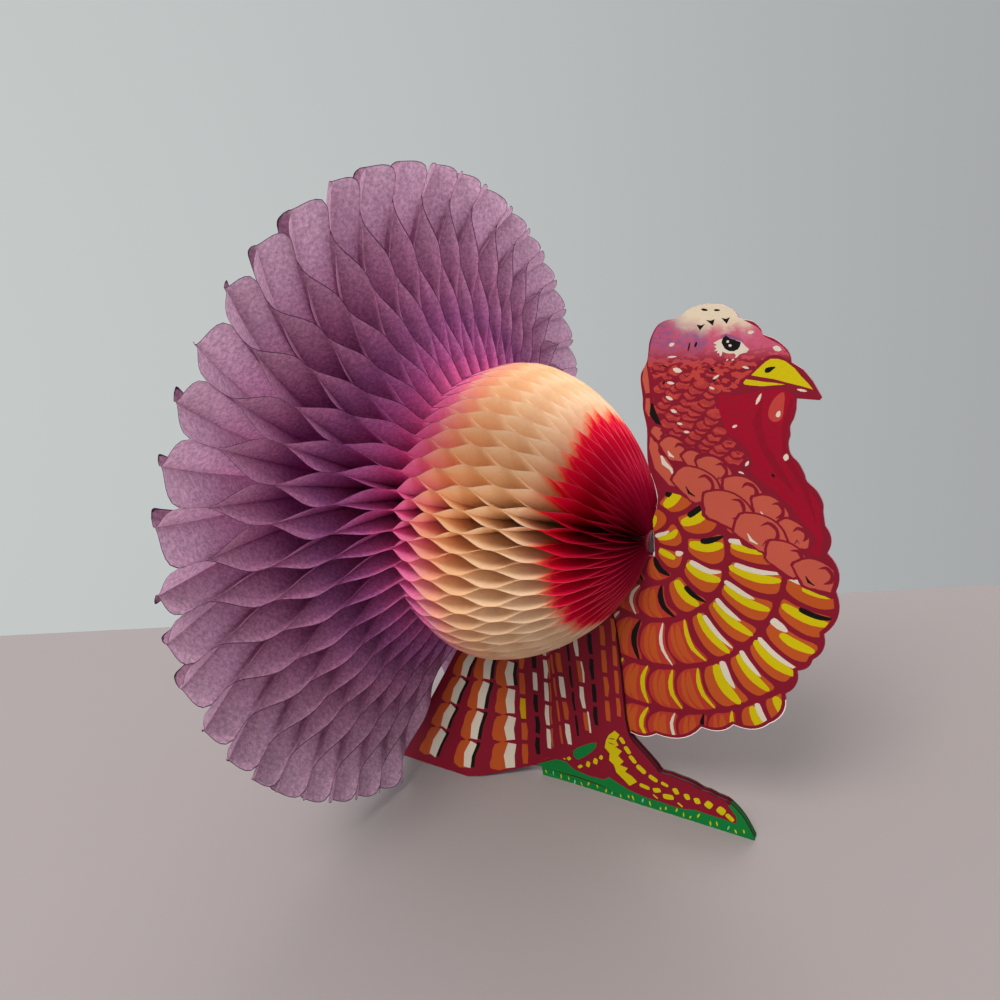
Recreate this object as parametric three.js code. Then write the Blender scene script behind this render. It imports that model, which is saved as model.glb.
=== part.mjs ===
// Fold-out turkey centrepiece: printed cards and a honeycomb tissue body and tail.
// Millimetres, +Z up, +X towards the beak, -Y is the side seen in the usual view.

import * as THREE from 'three';

// Driving dimensions of the tissue. A setback runs back along the spine from the pole,
// which is the point in front where all the folds meet.
const TAIL_RADIUS = 150;
const TAIL_CLEARANCE = 0.44;
const SPINE_TILT_DEG = 6;
const SPINE_LENGTH = 150;
const BODY_RADIUS = 68;
const BODY_SETBACK = 67;
const BODY_FULLNESS = 1.75;
const WAIST_SETBACK = 91;
const RIM_LEAD = 16.5;
const RIM_RUN = 8;
const RIM_ROUND = 13;
const RIM_FULLNESS = 2.6;
const TIP_ROUND = 3;
const POLE_TUCK = 0.6;
const GLUE_PITCH = 13;
const GLUE_START = 3;
const TAIL_LEAN = 15;

// Driving dimensions of the fan
const LEAF_COUNT = 44;
const LEAF_THICKNESS = 0.04;
const LEAF_OFFSET_STEP = 0.035;
const BOTTOM_GAP_DEG = 29;
const LEAF_LEVELS = 3;

// Driving dimensions of the spine core
const CORE_RADIUS = 4.7;
const CORE_GAP = 0.3;
const CORE_SIDES = 16;
const TAB_WIDTH = 5;
const TAB_HEIGHT = 10;
const TAB_THICKNESS = 0.4;
const TAB_SIDES = 6;

// Driving dimensions of the printed cards
const CARD_THICKNESS = 0.9;
const CARD_GAP = 0.3;
const LEG_TOP_DROP = 14.5;
const LEG_LENGTH = 186.5;
const LEG_REAR_SETBACK = 145;
const BOW_DEPTH = 18.8;
const BOW_FRONT_SETBACK = 60;
const BOW_REAR_SETBACK = 104;
const BOW_ROWS = 7;
const HEAD_LENGTH = 126.8;
const HEAD_HEIGHT = 190.6;
const HEAD_DROP = 96.1;
const HEAD_TOP_DROP = 12;
const NAPE_CLEARANCE = 0.7;
const SCALLOP_STEPS = 3;

const tilt = THREE.MathUtils.degToRad(SPINE_TILT_DEG);
const rimFront = SPINE_LENGTH - RIM_LEAD;
const tipFront = SPINE_LENGTH - TIP_ROUND;
const coreInner = CORE_RADIUS + CORE_GAP;
const leafPitch = THREE.MathUtils.degToRad((360 - BOTTOM_GAP_DEG) / (LEAF_COUNT - 1));
const firstLeafTurn = THREE.MathUtils.degToRad(BOTTOM_GAP_DEG / 2);

// The tail's lowest petals clear the floor, and that sets the height of the pole
const lowestPetal = TAIL_RADIUS * Math.cos(firstLeafTurn - leafPitch / 2) * Math.cos(tilt);
const rimRise = openSetback(rimFront + RIM_RUN, TAIL_RADIUS) * Math.sin(tilt);
const poleHeight = lowestPetal - rimRise + TAIL_CLEARANCE;

// Height of the spine's line above the floor, a distance back from the pole
function spineHeightAt(setback) {
  return poleHeight + setback * Math.tan(tilt);
}

// Outline of the flat sheet: radius of the cut edge at a distance back from the pole
function cutRadius(setback) {
  if (setback <= WAIST_SETBACK) {
    const off = Math.abs(1 - setback / BODY_SETBACK) ** BODY_FULLNESS;
    return BODY_RADIUS * (1 - off) ** (1 / BODY_FULLNESS);
  }
  const waist = cutRadius(WAIST_SETBACK);
  const shoulder = TAIL_RADIUS - RIM_ROUND;
  if (setback <= rimFront) {
    const rise = (setback - WAIST_SETBACK) / (rimFront - WAIST_SETBACK);
    return waist + (shoulder - waist) * rise;
  }
  const before = Math.max(0, 1 - (setback - rimFront) / RIM_RUN);
  const rim = shoulder + RIM_ROUND * (1 - before ** RIM_FULLNESS) ** (1 / RIM_FULLNESS);
  const past = Math.max(0, setback - tipFront);
  return rim - TIP_ROUND + Math.sqrt(TIP_ROUND ** 2 - past ** 2);
}

// Place of a point of the flat sheet once the honeycomb is pulled open: the cell walls
// swing aside as they spread round the spine, which draws the sheet together along it,
// and the tail leans forward
function openSetback(setback, radius) {
  const wallSwing = radius * Math.tan(leafPitch / 2) / GLUE_PITCH;
  const lean = TAIL_LEAN * (radius / TAIL_RADIUS) ** 2;
  return WAIST_SETBACK - lean + (setback - WAIST_SETBACK) * Math.cos(wallSwing);
}

// Turn of the zigzag at a setback: it reaches one side at a glue line, the other at the next
function zigzagTurn(setback) {
  const phase = (setback - GLUE_START) / GLUE_PITCH;
  const cell = Math.floor(phase);
  const start = cell % 2 === 0 ? -1 : 1;
  return (leafPitch / 2) * start * (1 - 2 * (phase - cell));
}

// Setbacks where a leaf has a column of points: its glue lines and its cut corners
function leafColumns() {
  const rimTop = rimFront + RIM_RUN;
  const columns = [POLE_TUCK, WAIST_SETBACK, rimFront, (rimFront + rimTop) / 2, rimTop];
  for (let at = GLUE_START; at < tipFront; at += GLUE_PITCH) columns.push(at);
  columns.push(tipFront, SPINE_LENGTH);
  return columns.sort((a, b) => a - b);
}

// Closed plate between two lists of points that face each other, row by row
function plateGeometry(front, back) {
  const rows = front.length;
  const levels = front[0].length;
  const positions = [];
  for (const side of [front, back]) {
    for (const row of side) {
      for (const point of row) positions.push(point.x, point.y, point.z);
    }
  }
  const at = (side, row, level) => side * rows * levels + row * levels + level;
  const indices = [];
  const quad = (a, b, c, d) => indices.push(a, b, c, a, c, d);
  for (let row = 0; row < rows - 1; row += 1) {
    for (let level = 0; level < levels - 1; level += 1) {
      quad(at(0, row, level), at(0, row + 1, level), at(0, row + 1, level + 1),
        at(0, row, level + 1));
      quad(at(1, row, level), at(1, row, level + 1), at(1, row + 1, level + 1),
        at(1, row + 1, level));
    }
    quad(at(0, row, 0), at(1, row, 0), at(1, row + 1, 0), at(0, row + 1, 0));
    const top = levels - 1;
    quad(at(0, row, top), at(0, row + 1, top), at(1, row + 1, top), at(1, row, top));
  }
  const last = rows - 1;
  for (let level = 0; level < levels - 1; level += 1) {
    quad(at(0, 0, level), at(0, 0, level + 1), at(1, 0, level + 1), at(1, 0, level));
    quad(at(0, last, level), at(1, last, level), at(1, last, level + 1),
      at(0, last, level + 1));
  }
  const geometry = new THREE.BufferGeometry();
  geometry.setAttribute('position', new THREE.Float32BufferAttribute(positions, 3));
  geometry.setIndex(indices);
  return geometry;
}

// Row of points out along a leaf from the spine to its cut edge, on one of its two faces
function leafRow(setback, face) {
  const row = [];
  const turn = zigzagTurn(setback);
  for (let level = 0; level < LEAF_LEVELS; level += 1) {
    const radius = coreInner + (cutRadius(setback) - coreInner) * level / (LEAF_LEVELS - 1);
    const sideways = radius * Math.sin(turn) + face * LEAF_THICKNESS / 2;
    row.push(new THREE.Vector3(
      -openSetback(setback, radius), sideways, -radius * Math.cos(turn)));
  }
  return row;
}

// One leaf of tissue, hanging down from the spine along X with the pole at the origin
function leafGeometry() {
  const faces = [-1, 1].map((face) => leafColumns().map((at) => leafRow(at, face)));
  return plateGeometry(...faces);
}

// Tissue colour of every leaf: a crimson pole, a peach body and a purple tail share one sheet
const tissue = new THREE.MeshStandardMaterial({ color: 0x9a5fa0, roughness: 0.9 });

// The leaves stand side by side round the spine, each a little further off it than the last
function tissueLeaves() {
  const leaves = [];
  const geometry = leafGeometry();
  for (let index = 0; index < LEAF_COUNT; index += 1) {
    const turn = firstLeafTurn + index * leafPitch;
    const offset = (index - (LEAF_COUNT - 1) / 2) * LEAF_OFFSET_STEP;
    const leaf = new THREE.Mesh(geometry.clone(), tissue.clone());
    leaf.name = `tissue_leaf_${String(index + 1).padStart(2, '0')}`;
    leaf.rotation.x = -turn;
    leaf.position.set(0, -offset * Math.cos(turn), offset * Math.sin(turn));
    leaves.push(leaf);
  }
  return leaves;
}

// Paper core that the leaves' inner edges are gathered on, with a small tab at the pole
function spineCore() {
  const profile = [
    new THREE.Vector2(0, 0),
    new THREE.Vector2(CORE_RADIUS, 0),
    new THREE.Vector2(CORE_RADIUS, SPINE_LENGTH),
    new THREE.Vector2(0, SPINE_LENGTH),
  ];
  const geometry = new THREE.LatheGeometry(profile, CORE_SIDES);
  geometry.rotateZ(Math.PI / 2);
  const material = new THREE.MeshStandardMaterial({ color: 0x8c1230, roughness: 0.9 });
  const core = new THREE.Mesh(geometry, material);
  core.name = 'spine_core';
  return core;
}

// Grey end tab, glued flat on the front of the core
function spineTab() {
  const shape = new THREE.Shape();
  const half = TAB_WIDTH / 2;
  const straight = TAB_HEIGHT / 2 - half;
  shape.moveTo(-half, -straight);
  shape.absarc(0, -straight, half, Math.PI, 2 * Math.PI, false);
  shape.absarc(0, straight, half, 0, Math.PI, false);
  shape.closePath();
  const geometry = new THREE.ExtrudeGeometry(
    shape, { depth: TAB_THICKNESS, bevelEnabled: false, curveSegments: TAB_SIDES });
  geometry.rotateY(Math.PI / 2);
  geometry.rotateX(Math.PI / 2);
  const material = new THREE.MeshStandardMaterial({ color: 0x8a8486, roughness: 0.8 });
  const tab = new THREE.Mesh(geometry, material);
  tab.name = 'spine_end_tab';
  return tab;
}

// Top edge of the leg card, then its base, as shares of its length and of its height
const LEG_TOP_SHARES = [
  [0, 0.004], [0.241, 0.56], [0.263, 1], [0.645, 0.905], [0.654, 0.87], [0.663, 0.81],
  [0.673, 0.729], [0.681, 0.657], [0.685, 0.571], [0.688, 0.465], [0.691, 0.338],
  [0.7, 0.272], [0.72, 0.24], [0.743, 0.209], [0.765, 0.177], [0.775, 0.159], [0.8, 0.16],
  [0.822, 0.155], [0.838, 0.154], [0.86, 0.147], [0.879, 0.136], [0.895, 0.136],
  [0.915, 0.127], [0.937, 0.123], [0.955, 0.105], [0.973, 0.079], [0.988, 0.045], [1, 0.011],
];
const LEG_BASE_SHARES = [
  [0, 0], [0.102, 0], [0.241, 0], [0.279, 0.006], [0.31, 0.012], [0.343, 0.019],
  [0.38, 0.031], [0.407, 0.039], [0.428, 0.037], [0.43, 0], [1, 0],
];

// Height share of an outline at a place along the card
function shareHeight(points, place) {
  let next = points.findIndex(([along]) => along >= place);
  if (next <= 0) next = 1;
  const [startAlong, startHeight] = points[next - 1];
  const [endAlong, endHeight] = points[next];
  const within = (place - startAlong) / (endAlong - startAlong);
  return startHeight + (endHeight - startHeight) * within;
}

// Sideways bow of a leg card: its belly stands out from the middle, its foot doesn't
function bowAt(setback, height) {
  const reach = THREE.MathUtils.smoothstep(setback, BOW_FRONT_SETBACK, BOW_REAR_SETBACK);
  const drop = 1 - height / spineHeightAt(setback);
  return BOW_DEPTH * drop ** 2 * reach;
}

// A leg card with belly, leg, foot and grass base; side is -1 near and +1 far
function legCard(name, side) {
  const places = new Set([...LEG_TOP_SHARES, ...LEG_BASE_SHARES].map(([along]) => along));
  const ordered = [...places].sort((a, b) => a - b);
  const middle = (CARD_THICKNESS + CARD_GAP) * side;
  const legHeight = spineHeightAt(LEG_REAR_SETBACK) - LEG_TOP_DROP;
  const faces = [-1, 1].map((face) => ordered.map((place) => {
    const setback = LEG_REAR_SETBACK - place * LEG_LENGTH;
    const base = shareHeight(LEG_BASE_SHARES, place) * legHeight;
    const limit = spineHeightAt(setback) - LEG_TOP_DROP;
    const top = Math.min(limit, shareHeight(LEG_TOP_SHARES, place) * legHeight);
    const row = [];
    for (let level = 0; level < BOW_ROWS; level += 1) {
      const height = base + (top - base) * level / (BOW_ROWS - 1);
      const y = middle + side * bowAt(setback, height) + face * CARD_THICKNESS / 2;
      row.push(new THREE.Vector3(-setback, y, height));
    }
    return row;
  }));
  const material = new THREE.MeshStandardMaterial({ color: 0x93273a, roughness: 0.5 });
  const card = new THREE.Mesh(plateGeometry(...faces), material);
  card.name = name;
  return card;
}

// Back of the head from the pole up to the crown, as shares of the card's size
const NAPE_SHARES = [
  [0.436, 0.555], [0.455, 0.598], [0.449, 0.632], [0.43, 0.675], [0.428, 0.712],
  [0.431, 0.757], [0.421, 0.797], [0.422, 0.822], [0.418, 0.854], [0.422, 0.873],
  [0.441, 0.894], [0.448, 0.916], [0.454, 0.937], [0.476, 0.963], [0.505, 0.974],
];
// Crown and forehead down to the top of the beak
const CROWN_SHARES = [
  [0.543, 0.978], [0.556, 0.984], [0.58, 0.994], [0.616, 1], [0.66, 0.999], [0.685, 0.994],
  [0.711, 0.982], [0.723, 0.97], [0.757, 0.964], [0.778, 0.951], [0.785, 0.94],
  [0.815, 0.931], [0.843, 0.916], [0.857, 0.902], [0.861, 0.888],
];
// Beak with its sharp tip
const BEAK_SHARES = [[0.892, 0.874], [0.916, 0.854], [0.942, 0.823], [0.936, 0.818], [0.876, 0.821]];
// Throat and the front of the neck
const THROAT_SHARES = [
  [0.875, 0.8], [0.869, 0.783], [0.859, 0.768], [0.86, 0.751], [0.855, 0.736],
  [0.861, 0.715], [0.883, 0.698], [0.899, 0.677], [0.906, 0.663], [0.933, 0.645],
  [0.95, 0.622], [0.951, 0.605],
];
// Inner corners between the scallops of the breast feathers
const SCALLOP_SHARES = [
  [0.957, 0.577], [0.965, 0.521], [0.991, 0.443], [0.961, 0.347], [0.931, 0.286],
  [0.887, 0.254], [0.852, 0.194], [0.804, 0.112], [0.687, 0.087], [0.577, 0.06],
  [0.409, 0.01], [0.294, 0],
];
const SCALLOP_BULGE_SHARE = 0.16;

// Adds rounded scallops that bulge outwards from one corner to the next
function addScallops(shape, corners, bulgeShare) {
  for (let index = 1; index < corners.length; index += 1) {
    const start = corners[index - 1];
    const end = corners[index];
    const chord = end.clone().sub(start);
    const outward = new THREE.Vector2(-chord.y, chord.x).multiplyScalar(bulgeShare * 2);
    const control = start.clone().add(end).multiplyScalar(0.5).add(outward);
    shape.quadraticCurveTo(control.x, control.y, end.x, end.y);
  }
}

// Head, neck and breast card, standing in the middle plane between the two leg cards
function headCard() {
  const napeFront = TAB_THICKNESS + NAPE_CLEARANCE;
  const rear = napeFront - NAPE_SHARES[0][0] * HEAD_LENGTH;
  const base = poleHeight - HEAD_DROP;
  const place = ([along, up]) => new THREE.Vector2(
    rear + along * HEAD_LENGTH, base + up * HEAD_HEIGHT);
  const corners = SCALLOP_SHARES.map(place);
  const edge = [...NAPE_SHARES, ...CROWN_SHARES, ...BEAK_SHARES, ...THROAT_SHARES].map(place);
  const shape = new THREE.Shape();
  shape.moveTo(rear, base);
  shape.lineTo(rear, spineHeightAt(-rear) - HEAD_TOP_DROP);
  shape.lineTo(napeFront, spineHeightAt(-napeFront) - HEAD_TOP_DROP);
  for (const point of [...edge, corners[0]]) shape.lineTo(point.x, point.y);
  addScallops(shape, corners, SCALLOP_BULGE_SHARE);
  const geometry = new THREE.ExtrudeGeometry(
    shape, { depth: CARD_THICKNESS, bevelEnabled: false, curveSegments: SCALLOP_STEPS });
  geometry.translate(0, 0, -CARD_THICKNESS / 2);
  geometry.rotateX(Math.PI / 2);
  const material = new THREE.MeshStandardMaterial({ color: 0xa02a34, roughness: 0.5 });
  const card = new THREE.Mesh(geometry, material);
  card.name = 'head_breast_card';
  return card;
}

// The spine and its leaves are built level and then tilted nose down about the pole
const spine = new THREE.Group();
spine.rotation.y = tilt;
spine.position.z = poleHeight;
spine.add(spineCore(), spineTab(), ...tissueLeaves());

const figure = new THREE.Group();
figure.add(spine, headCard(), legCard('near_leg_card', -1), legCard('far_leg_card', 1));

// The origin is under the middle of the figure, on the surface that it stands on
figure.updateMatrixWorld(true);
const extent = new THREE.Box3().setFromObject(figure, true);
figure.position.x = -extent.getCenter(new THREE.Vector3()).x;
const turkey = new THREE.Group();
turkey.add(figure);

export default turkey;
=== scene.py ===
"""Fold-out turkey centrepiece: printed cards with a honeycomb tissue body and tail fan."""

import logging
import math
import random
from dataclasses import dataclass, field
from enum import Enum
from typing import Callable, Iterable, Optional, Sequence

import bpy
from mathutils import Matrix, Vector
from mathutils.geometry import delaunay_2d_cdt

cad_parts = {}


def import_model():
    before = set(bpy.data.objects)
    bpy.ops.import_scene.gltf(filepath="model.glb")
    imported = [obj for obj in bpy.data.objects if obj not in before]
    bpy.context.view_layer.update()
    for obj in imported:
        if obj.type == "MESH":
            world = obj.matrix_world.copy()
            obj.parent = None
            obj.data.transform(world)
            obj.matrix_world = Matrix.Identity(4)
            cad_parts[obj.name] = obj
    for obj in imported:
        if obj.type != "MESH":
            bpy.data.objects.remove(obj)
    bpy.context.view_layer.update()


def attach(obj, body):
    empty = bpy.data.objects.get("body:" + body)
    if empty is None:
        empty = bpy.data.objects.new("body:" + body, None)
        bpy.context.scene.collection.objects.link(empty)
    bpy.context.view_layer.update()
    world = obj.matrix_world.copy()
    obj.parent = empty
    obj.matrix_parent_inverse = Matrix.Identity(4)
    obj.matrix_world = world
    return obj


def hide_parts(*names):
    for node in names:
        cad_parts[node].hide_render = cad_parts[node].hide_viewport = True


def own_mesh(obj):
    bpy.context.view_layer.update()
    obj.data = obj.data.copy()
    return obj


LOG = logging.getLogger("turkey")
MM = 0.001
Colour = tuple[float, float, float, float]
Point2 = tuple[float, float]
Point3 = tuple[float, float, float]
Span = tuple[float, float]
# Place of the part's middle along X on the drawings, in millimetres
DRAWING_MIDDLE = 2.0398


def in_part(x: float, y: float, z: float) -> Point3:
    """Turn a place on the drawings, in millimetres, into metres in the part's frame."""
    return (x - DRAWING_MIDDLE) * MM, y * MM, z * MM


def linear(code: str) -> Colour:
    """Turn a six-digit colour code into linear red, green, blue and alpha.

    Args:
        code: Six hexadecimal digits, red first.

    Returns:
        The colour that a shader socket takes.
    """
    channels = []
    for start in (0, 2, 4):
        value = int(code[start:start + 2], 16) / 255
        channels.append(value / 12.92 if value <= 0.04045 else ((value + 0.055) / 1.055) ** 2.4)
    return channels[0], channels[1], channels[2], 1.0


def blend_colours(first: Colour, second: Colour, share: float) -> Colour:
    """Mix two colours.

    Args:
        first: Colour at share 0.
        second: Colour at share 1.
        share: How far to go from the first to the second.

    Returns:
        The mixed colour.
    """
    share = min(1.0, max(0.0, share))
    return tuple(a + (b - a) * share for a, b in zip(first, second))


def smoothstep(low: float, high: float, value: float) -> float:
    """Ease from 0 at low to 1 at high.

    Args:
        low: Value where the result leaves 0.
        high: Value where the result reaches 1.
        value: Value to ease.

    Returns:
        The eased share.
    """
    share = min(1.0, max(0.0, (value - low) / (high - low)))
    return share * share * (3 - 2 * share)


def grey(level: float) -> Colour:
    """Return a neutral colour of a linear brightness."""
    return level, level, level, 1.0


def add_object(data: bpy.types.ID) -> bpy.types.Object:
    """Put a mesh, lamp or camera into the scene.

    Args:
        data: The mesh, lamp or camera.

    Returns:
        The new object, under the same name.
    """
    piece = bpy.data.objects.new(data.name, data)
    bpy.context.collection.objects.link(piece)
    return piece


class Side(Enum):
    """Side of the middle plane."""

    NEAR = -1
    FAR = 1


class Ink(Enum):
    """Inks of the printed cards, as seen on the card."""

    BOARD = "e4dcd6"
    TRIM = "a4747a"
    MAROON = "751024"
    DARK = "2c050b"
    CRIMSON = "7c041e"
    SCARLET = "8c0220"
    CORAL = "a63832"
    SALMON = "aa4c3c"
    ORANGE = "a5481c"
    RUST = "a03022"
    YELLOW = "b6a600"
    AMBER = "b48a00"
    WHITE = "c2b8a8"
    BLACK = "0c0908"
    CREAM = "c6b8a0"
    LILAC = "864a70"
    ROSE = "ae5270"
    GREEN = "076c2f"
    SAGE = "6fae8c"

    def colour(self) -> Colour:
        """Return the ink's linear colour."""
        return linear(self.value)


# Finishes


@dataclass(frozen=True)
class Nodes:
    """Small helper that lays out the nodes of one material, or of the world."""

    owner: bpy.types.ID

    def add(self, kind: str, **values: object) -> bpy.types.Node:
        """Add a node and set its properties and input sockets.

        Args:
            kind: Type name of the node.
            **values: Properties by name, or input sockets by name with spaces as underscores.

        Returns:
            The new node.
        """
        node = self.owner.node_tree.nodes.new(kind)
        for name, value in values.items():
            socket = node.inputs.get(name.replace("_", " "))
            if socket is not None:
                socket.default_value = value
            else:
                setattr(node, name, value)
        return node

    def link(self, source: bpy.types.NodeSocket, target: bpy.types.NodeSocket) -> None:
        """Join an output socket to an input socket."""
        self.owner.node_tree.links.new(source, target)

    def feed(self, value: object, target: bpy.types.NodeSocket) -> None:
        """Give an input socket its value, or join it to the socket that gives it.

        Args:
            value: A socket, or a number or colour.
            target: The input socket.
        """
        if isinstance(value, bpy.types.NodeSocket):
            self.link(value, target)
        else:
            target.default_value = value

    def attribute(self, name: str, output: str = "Fac") -> bpy.types.NodeSocket:
        """Read a named mesh attribute and return the output socket asked for."""
        return self.add("ShaderNodeAttribute", attribute_name=name).outputs[output]

    def maths(self, operation: str, first: object, second: object = 0.0) -> bpy.types.NodeSocket:
        """Add a math node.

        Args:
            operation: Name of the operation.
            first: A socket or a number.
            second: A socket or a number.

        Returns:
            The result's socket.
        """
        node = self.add("ShaderNodeMath", operation=operation)
        self.feed(first, node.inputs[0])
        self.feed(second, node.inputs[1])
        return node.outputs[0]

    def mix(self, share: object, first: object, second: object,
            blend_type: str = "MIX") -> bpy.types.NodeSocket:
        """Mix two colours.

        Args:
            share: A socket or a number for the second colour's share.
            first: A colour socket or value.
            second: A colour socket or value.
            blend_type: Name of the blend.

        Returns:
            The mixed colour's socket.
        """
        node = self.add("ShaderNodeMix", data_type="RGBA", blend_type=blend_type)
        for index, value in ((0, share), (6, first), (7, second)):
            self.feed(value, node.inputs[index])
        return node.outputs[2]

    def mix_shaders(self, share: object, first: bpy.types.NodeSocket,
                    second: bpy.types.NodeSocket) -> bpy.types.NodeSocket:
        """Mix two shaders.

        Args:
            share: A socket or a number for the second shader's share.
            first: Socket of the first shader.
            second: Socket of the second shader.

        Returns:
            The mixed shader's socket.
        """
        node = self.add("ShaderNodeMixShader")
        for index, value in enumerate((share, first, second)):
            self.feed(value, node.inputs[index])
        return node.outputs[0]

    def ramp(self, source: bpy.types.NodeSocket,
             stops: Sequence[tuple[float, Colour]]) -> bpy.types.NodeSocket:
        """Add a colour ramp.

        Args:
            source: Socket that drives the ramp.
            stops: Places from 0 to 1 with their colours.

        Returns:
            The ramp's colour socket.
        """
        node = self.add("ShaderNodeValToRGB")
        elements = node.color_ramp.elements
        while len(elements) < len(stops):
            elements.new(1.0)
        for element, (place, colour) in zip(elements, stops):
            element.position = place
            element.color = colour
        self.link(source, node.inputs[0])
        return node.outputs[0]

    def noise(self, scale: float, detail: float = 2.0, roughness: float = 0.5,
              vector: Optional[bpy.types.NodeSocket] = None) -> bpy.types.NodeSocket:
        """Add a noise texture in object coordinates.

        Args:
            scale: Size of the noise, in repeats per metre.
            detail: Octaves.
            roughness: Weight of the finer octaves.
            vector: Coordinates to use in place of the object's.

        Returns:
            The noise factor's socket.
        """
        node = self.add("ShaderNodeTexNoise", Scale=scale, Detail=detail, Roughness=roughness)
        if vector is None:
            vector = self.add("ShaderNodeTexCoord").outputs["Object"]
        self.link(vector, node.inputs["Vector"])
        return node.outputs[0]

    def bump(self, height: bpy.types.NodeSocket, strength: float,
             distance: float) -> bpy.types.NodeSocket:
        """Add a bump node.

        Args:
            height: Socket with the height.
            strength: Share of the bump that shows.
            distance: Full height of the bump, in metres.

        Returns:
            The normal's socket.
        """
        node = self.add("ShaderNodeBump", Strength=strength, Distance=distance)
        self.link(height, node.inputs["Height"])
        return node.outputs[0]


@dataclass(frozen=True)
class Finish:
    """A named material with a uniform roughness."""

    name: str
    roughness: float

    def start(self) -> tuple[Nodes, bpy.types.Node]:
        """Start the material.

        Returns:
            The node helper and the shader.
        """
        material = bpy.data.materials.new(self.name)
        material.use_nodes = True
        shader = material.node_tree.nodes["Principled BSDF"]
        shader.inputs["Roughness"].default_value = self.roughness
        return Nodes(material), shader


@dataclass(frozen=True)
class PrintFinish(Finish):
    """Offset print on coated card: flat inks, a fine grain and a faint satin varnish."""

    name: str = "printed_card"
    roughness: float = 0.5
    coat: float = 0.02
    coat_roughness: float = 0.35
    gloss: float = 0.12
    curl_slope: float = math.radians(-28)
    curl_squeeze: float = 2.1
    curl_scale: float = 250.0
    mottle_red: str = "751024"
    mottle_lilac: str = "b0485e"
    grain_scale: float = 2600.0
    shade_scale: float = 28.0
    grain_depth: float = 0.0002

    def make(self) -> bpy.types.Material:
        """Build the material.

        Returns:
            The new material.
        """
        nodes, shader = self.start()
        shader.inputs["Coat Weight"].default_value = self.coat
        shader.inputs["Coat Roughness"].default_value = self.coat_roughness
        shader.inputs["Specular IOR Level"].default_value = self.gloss
        place = nodes.add("ShaderNodeTexCoord").outputs["Object"]
        squeeze = nodes.add("ShaderNodeMapping")
        squeeze.inputs["Rotation"].default_value = (0.0, self.curl_slope, 0.0)
        squeeze.inputs["Scale"].default_value = (1.0, 0.0, self.curl_squeeze)
        nodes.link(place, squeeze.inputs["Vector"])
        curls = nodes.noise(self.curl_scale, vector=squeeze.outputs[0])
        strokes = nodes.ramp(curls, [(0.0, grey(0)), (0.485, grey(0)), (0.505, grey(1)),
                                     (1.0, grey(1))])
        share = nodes.maths("MULTIPLY", strokes, nodes.attribute("mottle"))
        mottle = nodes.mix(nodes.attribute("bloom"), linear(self.mottle_red),
                           linear(self.mottle_lilac))
        inked = nodes.mix(share, nodes.attribute("ink", "Color"), mottle)
        grain = nodes.noise(self.grain_scale, 3.0, 0.7)
        grain_tint = nodes.ramp(grain, [(0.3, grey(0.90)), (0.7, grey(1.06))])
        shade_tint = nodes.ramp(nodes.noise(self.shade_scale),
                                [(0.3, (0.93, 0.92, 0.92, 1)), (0.7, grey(1.03))])
        grained = nodes.mix(1.0, inked, grain_tint, "MULTIPLY")
        nodes.link(nodes.mix(1.0, grained, shade_tint, "MULTIPLY"), shader.inputs["Base Color"])
        nodes.link(nodes.bump(grain, 0.08, self.grain_depth), shader.inputs["Normal"])
        return nodes.owner


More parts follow.
